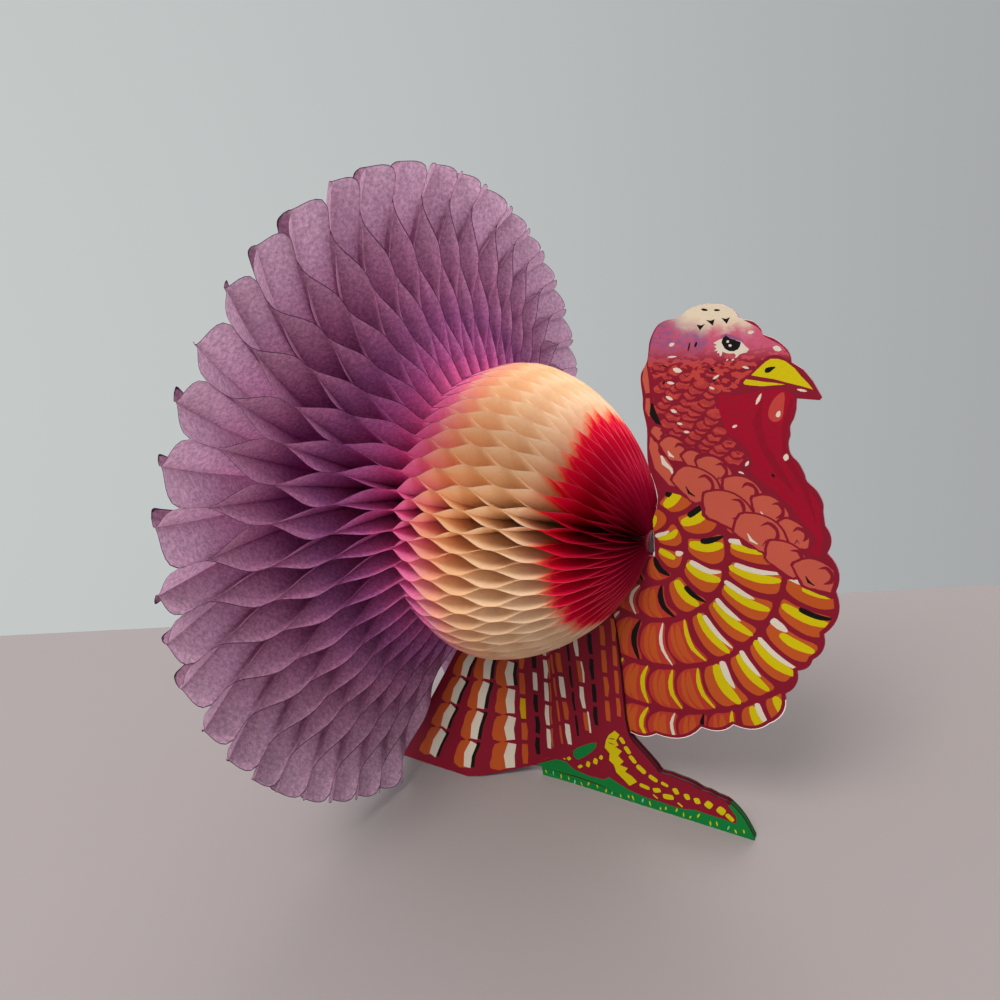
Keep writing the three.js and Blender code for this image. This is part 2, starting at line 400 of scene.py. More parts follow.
@dataclass(frozen=True)
class TissueFinish(Finish):
    """Dip-dyed tissue paper, thin enough for light to come through."""

    name: str = "dyed_tissue"
    roughness: float = 0.82
    gloss: float = 0.04
    through: float = 0.42
    ragged_scale: float = 340.0
    ragged_reach: float = 0.026
    fibre_scale: float = 640.0
    fibre_depth: float = 0.0003
    edge_width: float = 0.35
    edge_dark: float = 0.9
    edge_pale: float = 0.2
    # Dye from the pole to the rim, by its place along the bands. The bright pinks where the body
    # meets the tail and the paler mauve at the rim are partly dye and partly painted light, the
    # glow of light through the tissue.
    bands: tuple[tuple[float, str], ...] = (
        (0.0, "8a0a2c"), (0.06, "b80838"), (0.148, "e41040"), (0.156, "f43848"),
        (0.166, "f89c74"), (0.184, "f6debf"), (0.3, "f8deba"), (0.39, "fad8ac"),
        (0.445, "ffcab0"), (0.485, "ffb8c0"), (0.515, "ffa0cc"), (0.56, "ff8ccc"),
        (0.64, "e47cc2"), (0.73, "c478b4"), (0.81, "ce8cb6"), (0.9, "cc9cba"), (1.0, "c8a2ba"))

    def dyed(self, nodes: Nodes, place: bpy.types.NodeSocket,
             fibres: bpy.types.NodeSocket) -> bpy.types.NodeSocket:
        """Colour the bands of dye, blotchier towards the rim.

        Args:
            nodes: The material's node helper.
            place: Socket with the place along the bands.
            fibres: Socket with the paper's fibre noise.

        Returns:
            The colour's socket.
        """
        dye = nodes.ramp(place, [(stop, linear(code)) for stop, code in self.bands])
        soft = nodes.ramp(fibres, [(0.3, (0.92, 0.90, 0.90, 1)), (0.6, grey(1))])
        strong = nodes.ramp(fibres, [(0.4, (0.6, 0.58, 0.61, 1)), (0.62, (1.12, 1.1, 1.1, 1))])
        tail = nodes.ramp(place, [(0.46, grey(0)), (0.7, grey(1))])
        return nodes.mix(1.0, dye, nodes.mix(tail, soft, strong), "MULTIPLY")

    def edged(self, nodes: Nodes, place: bpy.types.NodeSocket,
              colour: bpy.types.NodeSocket) -> bpy.types.NodeSocket:
        """Line the cut edge: pale on the body, and on the tail a dark line of painted shade.

        Args:
            nodes: The material's node helper.
            place: Socket with the place along the bands.
            colour: Socket with the dye's colour.

        Returns:
            The colour's socket.
        """
        width = nodes.maths("DIVIDE", nodes.attribute("edge"), self.edge_width)
        rim = nodes.ramp(width, [(0.0, grey(1)), (0.6, grey(1)), (1.0, grey(0))])
        # The dark line along the tail's cut edges is painted shade.
        inked = nodes.maths("MULTIPLY", rim, nodes.attribute("edge_ink"))
        off_pole = nodes.ramp(place, [(0.03, grey(0)), (0.11, grey(1))])
        bare = nodes.maths("MULTIPLY", nodes.maths("SUBTRACT", rim, inked), off_pole)
        lined = nodes.mix(nodes.maths("MULTIPLY", bare, self.edge_pale), colour, linear("ffb4b0"))
        return nodes.mix(nodes.maths("MULTIPLY", inked, self.edge_dark), lined, linear("3c1838"))

    def make(self) -> bpy.types.Material:
        """Build the material.

        Returns:
            The new material.
        """
        nodes, shader = self.start()
        shader.inputs["Specular IOR Level"].default_value = self.gloss
        ragged = nodes.maths("SUBTRACT", nodes.noise(self.ragged_scale, 5.0, 0.7), 0.5)
        place = nodes.maths("ADD", nodes.attribute("dye"),
                            nodes.maths("MULTIPLY", ragged, self.ragged_reach))
        fibres = nodes.noise(self.fibre_scale, 7.0, 0.8)
        colour = self.edged(nodes, place, self.dyed(nodes, place, fibres))
        nodes.link(colour, shader.inputs["Base Color"])
        nodes.link(nodes.bump(fibres, 0.12, self.fibre_depth), shader.inputs["Normal"])
        glow = nodes.add("ShaderNodeBsdfTranslucent")
        nodes.link(colour, glow.inputs["Color"])
        both = nodes.mix_shaders(self.through, shader.outputs[0], glow.outputs[0])
        output = nodes.owner.node_tree.nodes["Material Output"]
        nodes.link(both, output.inputs["Surface"])
        return nodes.owner


@dataclass(frozen=True)
class PaperFinish(Finish):
    """Matte paper in one colour with a cloudy grain."""

    name: str = "pressed_tissue"
    roughness: float = 0.85
    dark: str = "4a0718"
    light: str = "8c1230"
    scale: float = 500.0
    grain_depth: float = 0.0003

    def make(self) -> bpy.types.Material:
        """Build the material.

        Returns:
            The new material.
        """
        nodes, shader = self.start()
        grain = nodes.noise(self.scale, 4.0, 0.6)
        tint = nodes.ramp(grain, [(0.3, linear(self.dark)), (0.7, linear(self.light))])
        nodes.link(tint, shader.inputs["Base Color"])
        nodes.link(nodes.bump(grain, 0.3, self.grain_depth), shader.inputs["Normal"])
        return nodes.owner


@dataclass(frozen=True)
class GroundFinish(Finish):
    """Plain matt surface of the floor."""

    name: str = "floor"
    roughness: float = 0.9
    colour: str = "847d7d"

    def make(self) -> bpy.types.Material:
        """Build the material.

        Returns:
            The new material.
        """
        nodes, shader = self.start()
        shader.inputs["Base Color"].default_value = linear(self.colour)
        return nodes.owner


# Tissue


@dataclass(frozen=True)
class Spine:
    """Line that the tissue is gathered on, tilted nose down from the tail to the pole."""

    pole: Point3 = (40.4714, 0.0, 135.3373)
    tilt: float = math.radians(6)
    length: float = 150.0
    core_finish: PaperFinish = PaperFinish()
    tab_finish: PaperFinish = PaperFinish(name="grey_tab", dark="2e2428", light="544a4e",
                                          scale=900.0)

    def place(self, setback: float, sideways: float, down: float) -> Point3:
        """Place a point given in the level spine's own directions.

        Args:
            setback: Distance back from the pole along the spine, in millimetres.
            sideways: Distance towards the far side, in millimetres.
            down: Distance below the spine, square to it, in millimetres.

        Returns:
            The point in metres in the part's frame.
        """
        turn_cos, turn_sin = math.cos(self.tilt), math.sin(self.tilt)
        along = -setback * turn_cos - down * turn_sin
        up = setback * turn_sin - down * turn_cos
        return in_part(self.pole[0] + along, self.pole[1] + sideways, self.pole[2] + up)

    def height_at(self, setback: float) -> float:
        """Return the height of the spine's line above the floor, in millimetres."""
        return self.pole[2] + setback * math.tan(self.tilt)

    def normal(self, turn: float) -> Vector:
        """Return the direction square to a leaf that stands at a turn about the spine."""
        across, up = -math.cos(turn), math.sin(turn)
        return Vector((up * math.sin(self.tilt), across, up * math.cos(self.tilt)))

    def dress(self) -> None:
        """Give the spine's core and its end tab their papers."""
        for node, finish in (("spine_core", self.core_finish), ("spine_end_tab", self.tab_finish)):
            materials = bpy.data.objects[node].data.materials
            materials.clear()
            materials.append(finish.make())
            LOG.info("%s dressed", node)


@dataclass
class TissueFan:
    """Honeycomb of dyed tissue: pairs of sheets glued in turn to each other and to the next.

    Lengths are in millimetres. A setback is a distance back from the pole along the spine.
    """

    spine: Spine = field(default_factory=Spine)
    finish: TissueFinish = TissueFinish()
    seed: int = 500
    leaf_count: int = 44
    bottom_gap: float = math.radians(29)
    leaf_offset: float = 0.035
    closed_share: float = 0.026
    steps_per_cell: int = 8
    levels: int = 12
    level_bias: float = 1.5
    slope_step: float = 1.0
    # Outline of the flat sheet
    inner_radius: float = 5.0
    least_width: float = 0.02
    rear_columns: tuple[float, ...] = (16.0, 0.9, 0.3, 0.0)
    tail_radius: float = 150.0
    body_radius: float = 68.0
    body_setback: float = 67.0
    body_fullness: float = 1.75
    waist_setback: float = 91.0
    rim_lead: float = 16.5
    rim_run: float = 8.0
    rim_round: float = 13.0
    rim_fullness: float = 2.6
    tip_round: float = 3.0
    pole_tuck: float = 0.6
    # Lines of glue, and how a pair parts between them
    glue_pitch: float = 13.0
    glue_start: float = 3.0
    glue_share: float = 0.11
    straight_share: float = 0.35
    # How the opened tissue lifts and hangs: at the pole, on the body, on the tail, at its far end
    pole_span: Span = (-4.0, 22.0)
    body_lift: float = 0.1
    waist_span: Span = (78.0, 112.0)
    tail_lean: float = 15.0
    tail_sag: float = 0.09
    tail_swing: float = math.radians(5)
    far_end_start: float = 1.2 * math.pi
    # Largest chance turns of a sheet and of its free tip
    sheet_sway: float = math.radians(0.7)
    tip_curl: float = math.radians(2.5)
    # Dye along the body and out along the tail, and the painted shade along the tail's cut edges
    dye_length: float = 160.0
    dye_run: float = 12.0
    dye_spread: float = 1.4
    dye_tail_start: float = 16.0
    dye_tail_run: float = 53.0
    dye_chance: float = 1.6
    dye_slant: float = 5.0
    dye_bow: float = 4.5
    edge_shade_span: Span = (60.0, 92.0)
    edge_shade_least: float = 0.1

    @property
    def pitch(self) -> float:
        """Turn from one leaf to the next."""
        return (2 * math.pi - self.bottom_gap) / (self.leaf_count - 1)

    def turn_of(self, index: int) -> float:
        """Return the turn of a leaf about the spine, from straight down on the near side."""
        return self.bottom_gap / 2 + index * self.pitch

    def offset_of(self, index: int) -> float:
        """Return how far a leaf stands off the spine's middle line, square to itself."""
        return (index - (self.leaf_count - 1) / 2) * self.leaf_offset

    def cut_radius(self, setback: float) -> float:
        """Find the cut edge of the flat sheet: round body, waist, straight flare and round rim.

        Args:
            setback: Place along the flat sheet from the pole.

        Returns:
            The cut edge's distance from the spine.
        """
        if setback <= self.waist_setback:
            off = abs(1 - setback / self.body_setback) ** self.body_fullness
            return self.body_radius * (1 - off) ** (1 / self.body_fullness)
        rim_front = self.spine.length - self.rim_lead
        waist = self.cut_radius(self.waist_setback)
        shoulder = self.tail_radius - self.rim_round
        if setback <= rim_front:
            rise = (setback - self.waist_setback) / (rim_front - self.waist_setback)
            return waist + (shoulder - waist) * rise
        before = max(0.0, 1 - (setback - rim_front) / self.rim_run)
        full = self.rim_fullness
        rim = shoulder + self.rim_round * (1 - before ** full) ** (1 / full)
        past = max(0.0, setback - self.spine.length + self.tip_round)
        return rim - self.tip_round + math.sqrt(max(0.0, self.tip_round ** 2 - past ** 2))

    @property
    def last_glue_line(self) -> float:
        """Setback of the last line of glue, just short of the sheet's rear edge."""
        lines = math.floor((self.spine.length - self.glue_start) / self.glue_pitch)
        return self.glue_start + lines * self.glue_pitch

    def open_setback(self, setback: float, radius: float) -> float:
        """Find where a point of the flat sheet lies along the spine once it is pulled open.

        Args:
            setback: Place along the flat sheet from the pole.
            radius: Place out along the flat sheet from the spine.

        Returns:
            The setback in the open figure.
        """
        swing = radius * math.tan(self.pitch / 2) / self.glue_pitch
        lean = self.tail_lean * (radius / self.tail_radius) ** 2
        return self.waist_setback - lean + (setback - self.waist_setback) * math.cos(swing)

    def parting(self, setback: float) -> float:
        """Find how far the two sheets of a pair have parted.

        Args:
            setback: Place along the flat sheet from the pole.

        Returns:
            0 where they are glued together and 1 where each is glued to the next pair.
        """
        held = min(setback, self.last_glue_line)
        phase = (held - self.glue_start) / self.glue_pitch
        wave = abs((phase + 1) % 2 - 1)
        share = min(1.0, max(0.0, (wave - self.glue_share) / (1 - 2 * self.glue_share)))
        straight = self.straight_share
        return straight * share + (1 - straight) * share * share * (3 - 2 * share)

    def sag(self, setback: float, radius: float, turn: float) -> float:
        """Find how far a point has turned down: the body bulges up, the tail hangs and swings.

        Args:
            setback: Place along the flat sheet from the pole.
            radius: Place out along the flat sheet from the spine.
            turn: The point's own turn about the spine.

        Returns:
            The turn towards the floor.
        """
        body = 1 - smoothstep(*self.waist_span, setback)
        off_pole = smoothstep(*self.pole_span, setback)
        hang = -self.body_lift * (radius / self.body_radius) ** 2 * body * off_pole
        hang += self.tail_sag * (radius / self.tail_radius) ** 2 * (1 - body)
        far_end = smoothstep(self.far_end_start, 2 * math.pi - self.bottom_gap / 2, turn)
        swing = self.tail_swing * (radius / self.tail_radius) ** 3 * (1 - body)
        return hang * math.sin(turn) - swing * (1 - far_end)

    def columns(self) -> list[float]:
        """List the setbacks where the sheet has a column of points, closer at the rear edge.

        Returns:
            The setbacks in order.
        """
        end = self.spine.length
        step = self.glue_pitch / self.steps_per_cell
        places = [self.pole_tuck, self.waist_setback]
        place = self.glue_start
        while place < end:
            places.append(place)
            place += step
        places += [end - ahead for ahead in (self.rim_lead, *self.rear_columns)]
        return sorted({round(place, 4) for place in places})

    def column_radii(self, setback: float) -> list[float]:
        """List the radii of one column's points, closer towards the cut edge.

        Args:
            setback: The column's place along the flat sheet.

        Returns:
            The radii from the spine outwards.
        """
        low = self.inner_radius
        reach = max(self.cut_radius(setback), low + self.least_width) - low
        return [low + reach * (1 - (1 - level / (self.levels - 1)) ** self.level_bias)
                for level in range(self.levels)]

    def edge_distance(self, setback: float, radius: float) -> float:
        """Measure how far a point of the flat sheet is from the nearest cut edge.

        Args:
            setback: Place along the flat sheet from the pole.
            radius: Place out along the flat sheet from the spine.

        Returns:
            The distance.
        """
        step = self.slope_step
        outer = self.cut_radius(setback)
        near = self.cut_radius(max(self.pole_tuck, setback - step / 2))
        far = self.cut_radius(min(self.spine.length, setback + step / 2))
        distance = (outer - radius) * step / math.hypot(step, far - near)
        return max(0.0, min(distance, self.spine.length - setback))

    def dye_place(self, setback: float, radius: float) -> float:
        """Find where a point lies along the bands of dye, which turn outwards on the tail.

        Args:
            setback: Place along the flat sheet from the pole.
            radius: Place out along the flat sheet from the spine.

        Returns:
            The share of the bands, 0 at the pole and 1 at the rim.
        """
        past_waist = setback - self.waist_setback
        if past_waist <= 0:
            return setback / self.dye_length
        inside = self.waist_setback + min(self.dye_run, past_waist) * self.dye_spread
        outside = 0.0
        if radius > self.body_radius:
            tail = (radius - self.body_radius) / (self.tail_radius - self.body_radius)
            outside = self.waist_setback + self.dye_tail_start + self.dye_tail_run * tail
        return max(inside, outside) / self.dye_length

    def sway(self, contact: int, most: float) -> float:
        """Return the small chance turn that two sheets share where they are glued together.

        Args:
            contact: Twice the leaf's index for its own pair, or the odd number between two leaves.
            most: Largest turn either way.

        Returns:
            The turn, none next to the cards.
        """
        if contact < 0 or contact > 2 * (self.leaf_count - 1):
            return 0.0
        return random.Random(self.seed + contact).uniform(-most, most)

    def point(self, index: int, side: int, setback: float, radius: float) -> Point3:
        """Place one point of a sheet of a leaf in the opened honeycomb.

        Args:
            index: The leaf's index.
            side: -1 or 1 for the sheet of the pair.
            setback: Place along the flat sheet from the pole.
            radius: Place out along the flat sheet from the spine.

        Returns:
            The point in metres.
        """
        base = self.turn_of(index)
        parted = self.parting(setback)
        reach = radius / self.tail_radius
        own = self.sway(2 * index, self.sheet_sway)
        shared = self.sway(2 * index + side, self.sheet_sway)
        opened = side * self.pitch / 2 * parted
        turn = opened - self.sag(setback, radius, base + opened)
        turn += (own + (shared - own) * parted) * reach
        loose = max(0.0, setback - self.last_glue_line) / (self.spine.length - self.last_glue_line)
        turn += self.sway(2 * index + side, self.tip_curl) * loose * reach ** 4
        offset = self.offset_of(index)
        angle = base + turn
        sideways = -radius * math.sin(angle) - offset * math.cos(base)
        down = radius * math.cos(angle) - offset * math.sin(base)
        return self.spine.place(self.open_setback(setback, radius), sideways, down)

    def sheet_faces(self, first: int, columns: int, side: int) -> list[tuple[int, ...]]:
        """Join the points of one sheet with faces.

        Args:
            first: Index of the sheet's first point.
            columns: How many columns of points it has.
            side: -1 or 1 for the sheet of the pair, which turns its faces outwards.

        Returns:
            The faces.
        """
        faces = []
        for column in range(columns - 1):
            for level in range(self.levels - 1):
                a = first + column * self.levels + level
                b = a + self.levels
                quad = (a, b, b + 1, a + 1)
                faces.append(quad if side > 0 else quad[::-1])
        return faces

    def build_leaf(self, index: int, material: bpy.types.Material) -> bpy.types.Object:
        """Build the pair of sheets that stands for one leaf.

        Args:
            index: The leaf's index, 0 next to the near card.
            material: The tissue's material.

        Returns:
            The new piece.
        """
        chance = random.Random(self.seed + index)
        lower = math.cos(self.turn_of(index))
        columns = self.columns()
        points: list[Point3] = []
        faces: list[tuple[int, ...]] = []
        dye: list[float] = []
        edge: list[float] = []
        ink: list[float] = []
        for side in (-1, 1):
            faces += self.sheet_faces(len(points), len(columns), side)
            shift = chance.uniform(-self.dye_chance, self.dye_chance)
            shift += self.dye_slant * lower
            shift += self.dye_bow * lower ** 2
            for setback in columns:
                # Share of painted shade on the cut edge: slight on the body, full on the tail.
                inked = smoothstep(*self.edge_shade_span, setback)
                for radius in self.column_radii(setback):
                    points.append(self.point(index, side, setback, radius))
                    shade = self.dye_place(setback, radius) + shift / self.dye_length
                    dye.append(min(1.0, max(0.0, shade)))
                    edge.append(self.edge_distance(setback, radius))
                    ink.append(inked * (1 - self.edge_shade_least) + self.edge_shade_least)
        mesh = bpy.data.meshes.new(f"tissue_pair_{index + 1:02d}")
        mesh.from_pydata(points, [], faces)
        for name, values in (("dye", dye), ("edge", edge), ("edge_ink", ink)):
            mesh.attributes.new(name, "FLOAT", "POINT").data.foreach_set("value", values)
        mesh.shade_smooth()
        mesh.materials.append(material)
        return add_object(mesh)

    def body_of(self, index: int) -> str:
        """Find the body that carries a leaf.

        Args:
            index: The leaf's index.

        Returns:
            The body's name.
        """
        if index == 0:
            return "near_side"
        if index == self.leaf_count - 1:
            return "far_side"
        return f"leaf_{index + 1:02d}"

    def build(self) -> None:
        """Build every leaf and let it ride on its body."""
        material = self.finish.make()
        for index in range(self.leaf_count):
            piece = self.build_leaf(index, material)
            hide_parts(f"tissue_leaf_{index + 1:02d}")
            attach(piece, self.body_of(index))
            normal = self.spine.normal(self.turn_of(index))
            anchor = Vector(self.spine.place(0.0, 0.0, 0.0)) + normal * self.offset_of(index) * MM
            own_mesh(piece)
            LOG.info("%s rides on %s", piece.name, self.body_of(index))


# Printed cards


@dataclass(frozen=True)
class Patch:
    """One printed area of a card."""

    ink: Ink
    outline: tuple[Point2, ...]
    mottle: float = 0.0


def smooth_between(corners: Sequence[Point2], steps: int) -> list[Point2]:
    """Run a smooth curve through corners, from the second to just before the last but one.

    Args:
        corners: The corners in order, with one more at each end that only steers the curve.
        steps: Points per stretch.

    Returns:
        The curve's points.
    """
    points = []
    for four in zip(corners, corners[1:], corners[2:], corners[3:]):
        for step in range(steps):
            t = step / steps
            points.append(tuple(
                0.5 * (2 * q + (r - p) * t + (2 * p - 5 * q + 4 * r - s) * t * t
                       + (3 * q - p - 3 * r + s) * t ** 3)
                for p, q, r, s in zip(*four)))
    return points


def smooth_loop(corners: Sequence[Point2], steps: int) -> tuple[Point2, ...]:
    """Round a closed outline with a smooth curve through its corners.

    Args:
        corners: The outline's corners in order.
        steps: Points per side.

    Returns:
        The finer outline.
    """
    return tuple(smooth_between((corners[-1], *corners, *corners[:2]), steps))


def smooth_path(corners: Sequence[Point2], steps: int = 3) -> list[Point2]:
    """Round an open path with a smooth curve through its corners.

    Args:
        corners: Points of the path in order.
        steps: Points per stretch.

    Returns:
        The finer path, with both ends kept.
    """
    return smooth_between((corners[0], *corners, corners[-1]), steps) + [corners[-1]]


def stroke(path: Sequence[Point2], widths: Sequence[float]) -> tuple[Point2, ...]:
    """Draw a brush stroke along a path.

    Args:
        path: Points of the middle line.
        widths: Full width at each point.

    Returns:
        The stroke's outline.
    """
    left, right = [], []
    for index, (x, z) in enumerate(path):
        before, after = path[max(0, index - 1)], path[min(len(path) - 1, index + 1)]
        dx, dz = after[0] - before[0], after[1] - before[1]
        size = math.hypot(dx, dz) or 1.0
        half = widths[index] / 2
        left.append((x - dz / size * half, z + dx / size * half))
        right.append((x + dz / size * half, z - dx / size * half))
    return tuple(left + right[::-1])


def soft_stroke(path: Sequence[Point2], widths: Sequence[float]) -> tuple[Point2, ...]:
    """Draw a brush stroke with a rounded outline.

    Args:
        path: Points of the middle line.
        widths: Full width at each point.

    Returns:
        The stroke's outline.
    """
    return smooth_loop(stroke(path, widths), 2)


def moved(outline: Iterable[Point2], right: float, up: float) -> tuple[Point2, ...]:
    """Move an outline in the card's plane."""
    return tuple((x + right, z + up) for x, z in outline)


def area_of(outline: Sequence[Point2]) -> float:
    """Measure the area of an outline.

    Args:
        outline: The outline's points in order.

    Returns:
        The area, positive when the outline runs anticlockwise.
    """
    total = 0.0
    for (ax, az), (bx, bz) in zip(outline, tuple(outline[1:]) + (outline[0],)):
        total += ax * bz - bx * az
    return total / 2


@dataclass
class PrintedCard:
    """Die-cut card with print on both faces and a cut edge in one colour, flat or bowed sideways.

    Places and lengths are in millimetres on the drawing, with X ahead and Z up.
    """

    node: str
    body: str
    middle: float
    thickness: float = 0.9
    grid: float = 3.0
    row_share: float = 0.97
    weld: float = 1e-4
    edge: Ink = Ink.DARK

    def outline(self) -> tuple[Point2, ...]:
        """Return the cut outline in the card's plane, in millimetres."""
        raise NotImplementedError

    def artwork(self) -> list[Patch]:
        """Return the printed areas, the lowest layer first."""
        raise NotImplementedError

    def bow(self, x: float, z: float) -> float:
        """Return the sideways place of the card's middle at a point."""
        return self.middle

    def tint(self, ink: Ink, x: float, z: float) -> Colour:
        """Return the colour of an ink at a point."""
        return ink.colour()

    def bloom(self, x: float, z: float) -> float:
        """Return how far the mottling turns from red to lilac at a point."""
        return 0.0

    def fade(self, x: float, z: float) -> float:
        """Return how much of the mottling shows at a point."""
        return 1.0

    def triangulate(self) -> tuple[list[Point2], list[tuple[int, ...]], list[int]]:
        """Cut the card's outline into triangles along every printed border.

        Returns:
            The points, the triangles and the index of the area that shows on each, 0 for none.
        """
        outline = self.outline()
        loops = [outline] + [patch.outline for patch in self.artwork()]
        points: list[Vector] = []
        faces: list[list[int]] = []
        for loop in loops:
            ordered = loop if area_of(loop) > 0 else loop[::-1]
            faces.append(list(range(len(points), len(points) + len(ordered))))
            points += [Vector(point) for point in ordered]
        rear, front = min(x for x, _ in outline), max(x for x, _ in outline)
        low, high = min(z for _, z in outline), max(z for _, z in outline)
        for column in range(1, int((front - rear) / self.grid) + 1):
            for row in range(1, int((high - low) / self.grid) + 1):
                shift = 0.5 * self.grid * (row % 2)
                points.append(Vector((rear + column * self.grid - shift,
                                      low + row * self.grid * self.row_share)))
        cut = delaunay_2d_cdt(points, [], faces, 0, self.weld)
        # Each triangle comes with the loops that it lies in, and the last one printed shows
        kept = [(triangle, max(owners)) for triangle, owners in zip(cut[2], cut[5]) if 0 in owners]
        used = sorted({corner for triangle, _ in kept for corner in triangle})
        renumber = {old: new for new, old in enumerate(used)}
        triangles = [tuple(renumber[corner] for corner in triangle) for triangle, _ in kept]
        return [tuple(cut[0][old]) for old in used], triangles, [shown for _, shown in kept]

    def rim_of(self, triangles: Sequence[tuple[int, ...]]) -> list[tuple[int, int]]:
        """Find the sides that only one triangle has.

        Args:
            triangles: The card's triangles.

        Returns:
            The two corners of each side along the cut edge.
        """
        rim: dict[tuple[int, int], None] = {}
        for triangle in triangles:
            for a, b in zip(triangle, triangle[1:] + triangle[:1]):
                if (b, a) in rim:
                    del rim[(b, a)]
                else:
                    rim[(a, b)] = None
        return list(rim)

    def build(self, material: bpy.types.Material) -> None:
        """Build the card with its two faces and its cut edge.

        Args:
            material: The printed card's material.
        """
        flat, triangles, shown = self.triangulate()
        card = Patch(Ink.BOARD, ())
        patches = [card] + self.artwork()
        half = self.thickness / 2
        points = [in_part(x, self.bow(x, z) + side.value * half, z)
                  for side in Side for x, z in flat]
        faces: list[tuple[int, ...]] = []
        inks: list[Colour] = []
        mottles: list[float] = []
        blooms: list[float] = []
        count = len(flat)
        for side, base in ((Side.NEAR, 0), (Side.FAR, count)):
            for triangle, owner in zip(triangles, shown):
                corners = triangle if side is Side.NEAR else triangle[::-1]
                faces.append(tuple(corner + base for corner in corners))
                patch = patches[owner]
                for corner in corners:
                    x, z = flat[corner]
                    inks.append(self.tint(patch.ink, x, z))
                    mottles.append(patch.mottle * self.fade(x, z))
                    blooms.append(self.bloom(x, z))
        for a, b in self.rim_of(triangles):
            faces.append((b, a, a + count, b + count))
            inks += [self.edge.colour()] * 4
            mottles += [0.0] * 4
            blooms += [0.0] * 4
        mesh = bpy.data.meshes.new(f"{self.node}_print")
        mesh.from_pydata(points, [], faces)
        ink_layer = mesh.attributes.new("ink", "FLOAT_COLOR", "CORNER")
        ink_layer.data.foreach_set("color", [channel for ink in inks for channel in ink])
        for name, values in (("mottle", mottles), ("bloom", blooms)):
            mesh.attributes.new(name, "FLOAT", "CORNER").data.foreach_set("value", values)
        mesh.materials.append(material)
        piece = add_object(mesh)
        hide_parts(self.node)
        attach(piece, self.body)
        LOG.info("%s: %d printed areas, %d faces", piece.name, len(patches) - 1, len(faces))


def glint(centre: Point2, size: float, seed: int) -> tuple[Point2, ...]:
    """Draw an uneven round dot.

    Args:
        centre: Middle of the dot.
        size: Mean radius.
        seed: Seed of the unevenness.

    Returns:
        The dot's outline.
    """
    chance = random.Random(seed)
    count = 11
    corners = []
    for index in range(count):
        turn = math.tau * index / count
        reach = size * chance.uniform(0.86, 1.12)
        corners.append((centre[0] + reach * math.cos(turn), centre[1] + reach * math.sin(turn)))
    return smooth_loop(corners, 3)


def slanted(centre: Point2, length: float, slope: float,
            shares: Sequence[float]) -> list[Point2]:
    """Lay points on a straight slanted line.

    Args:
        centre: Middle of the line.
        length: Its length.
        slope: Its angle, in degrees.
        shares: Place of each point, from -1 at the line's start to 1 at its end.

    Returns:
        The points.
    """
    turn = math.radians(slope)
    dx, dz = math.cos(turn) * length / 2, math.sin(turn) * length / 2
    return [(centre[0] + dx * share, centre[1] + dz * share) for share in shares]


def fleck(centre: Point2, length: float, width: float, slope: float) -> tuple[Point2, ...]:
    """Draw a small pointed fleck, thickest before its middle.

    Args:
        centre: Middle of the fleck.
        length: Its length.
        width: Its largest width.
        slope: Its angle, in degrees.

    Returns:
        The fleck's outline.
    """
    path = slanted(centre, length, slope, (-1.0, -0.3, 0.5, 1.0))
    return stroke(path, (width * 0.3, width, width * 0.8, width * 0.15))


@dataclass(frozen=True)
class FeatherBands:
    """Bands of a breast feather, as shares of its length and width, and as widths if it hangs."""

    yellow: Span
    upper: Span
    hanging_ink: Ink
    hanging_width: float
    yellow_width: float = 0.42
    upper_ink: Ink = Ink.WHITE
    upper_width: float = 0.24


class Feather(Enum):
    """Kinds of breast feather, by the band along the upper side."""

    HALF_EDGED = FeatherBands((0.03, 0.97), (0.0, 0.62), Ink.YELLOW, 2.0)
    FULL_EDGED = FeatherBands((0.0, 0.99), (0.02, 0.98), Ink.BLACK, 2.6, yellow_width=0.5)
    WHITE_TIPPED = FeatherBands((0.03, 0.72), (0.72, 1.0), Ink.WHITE, 1.5, upper_width=0.34)
    WHITE_ROOTED = FeatherBands((0.3, 0.98), (0.0, 0.34), Ink.YELLOW, 2.0, upper_width=0.34)
    SHORT_EDGED = FeatherBands((0.02, 0.98), (0.1, 0.95), Ink.WHITE, 1.5)
    BLACK_EDGED = FeatherBands((0.05, 0.95), (0.35, 0.98), Ink.BLACK, 2.2, upper_ink=Ink.BLACK)


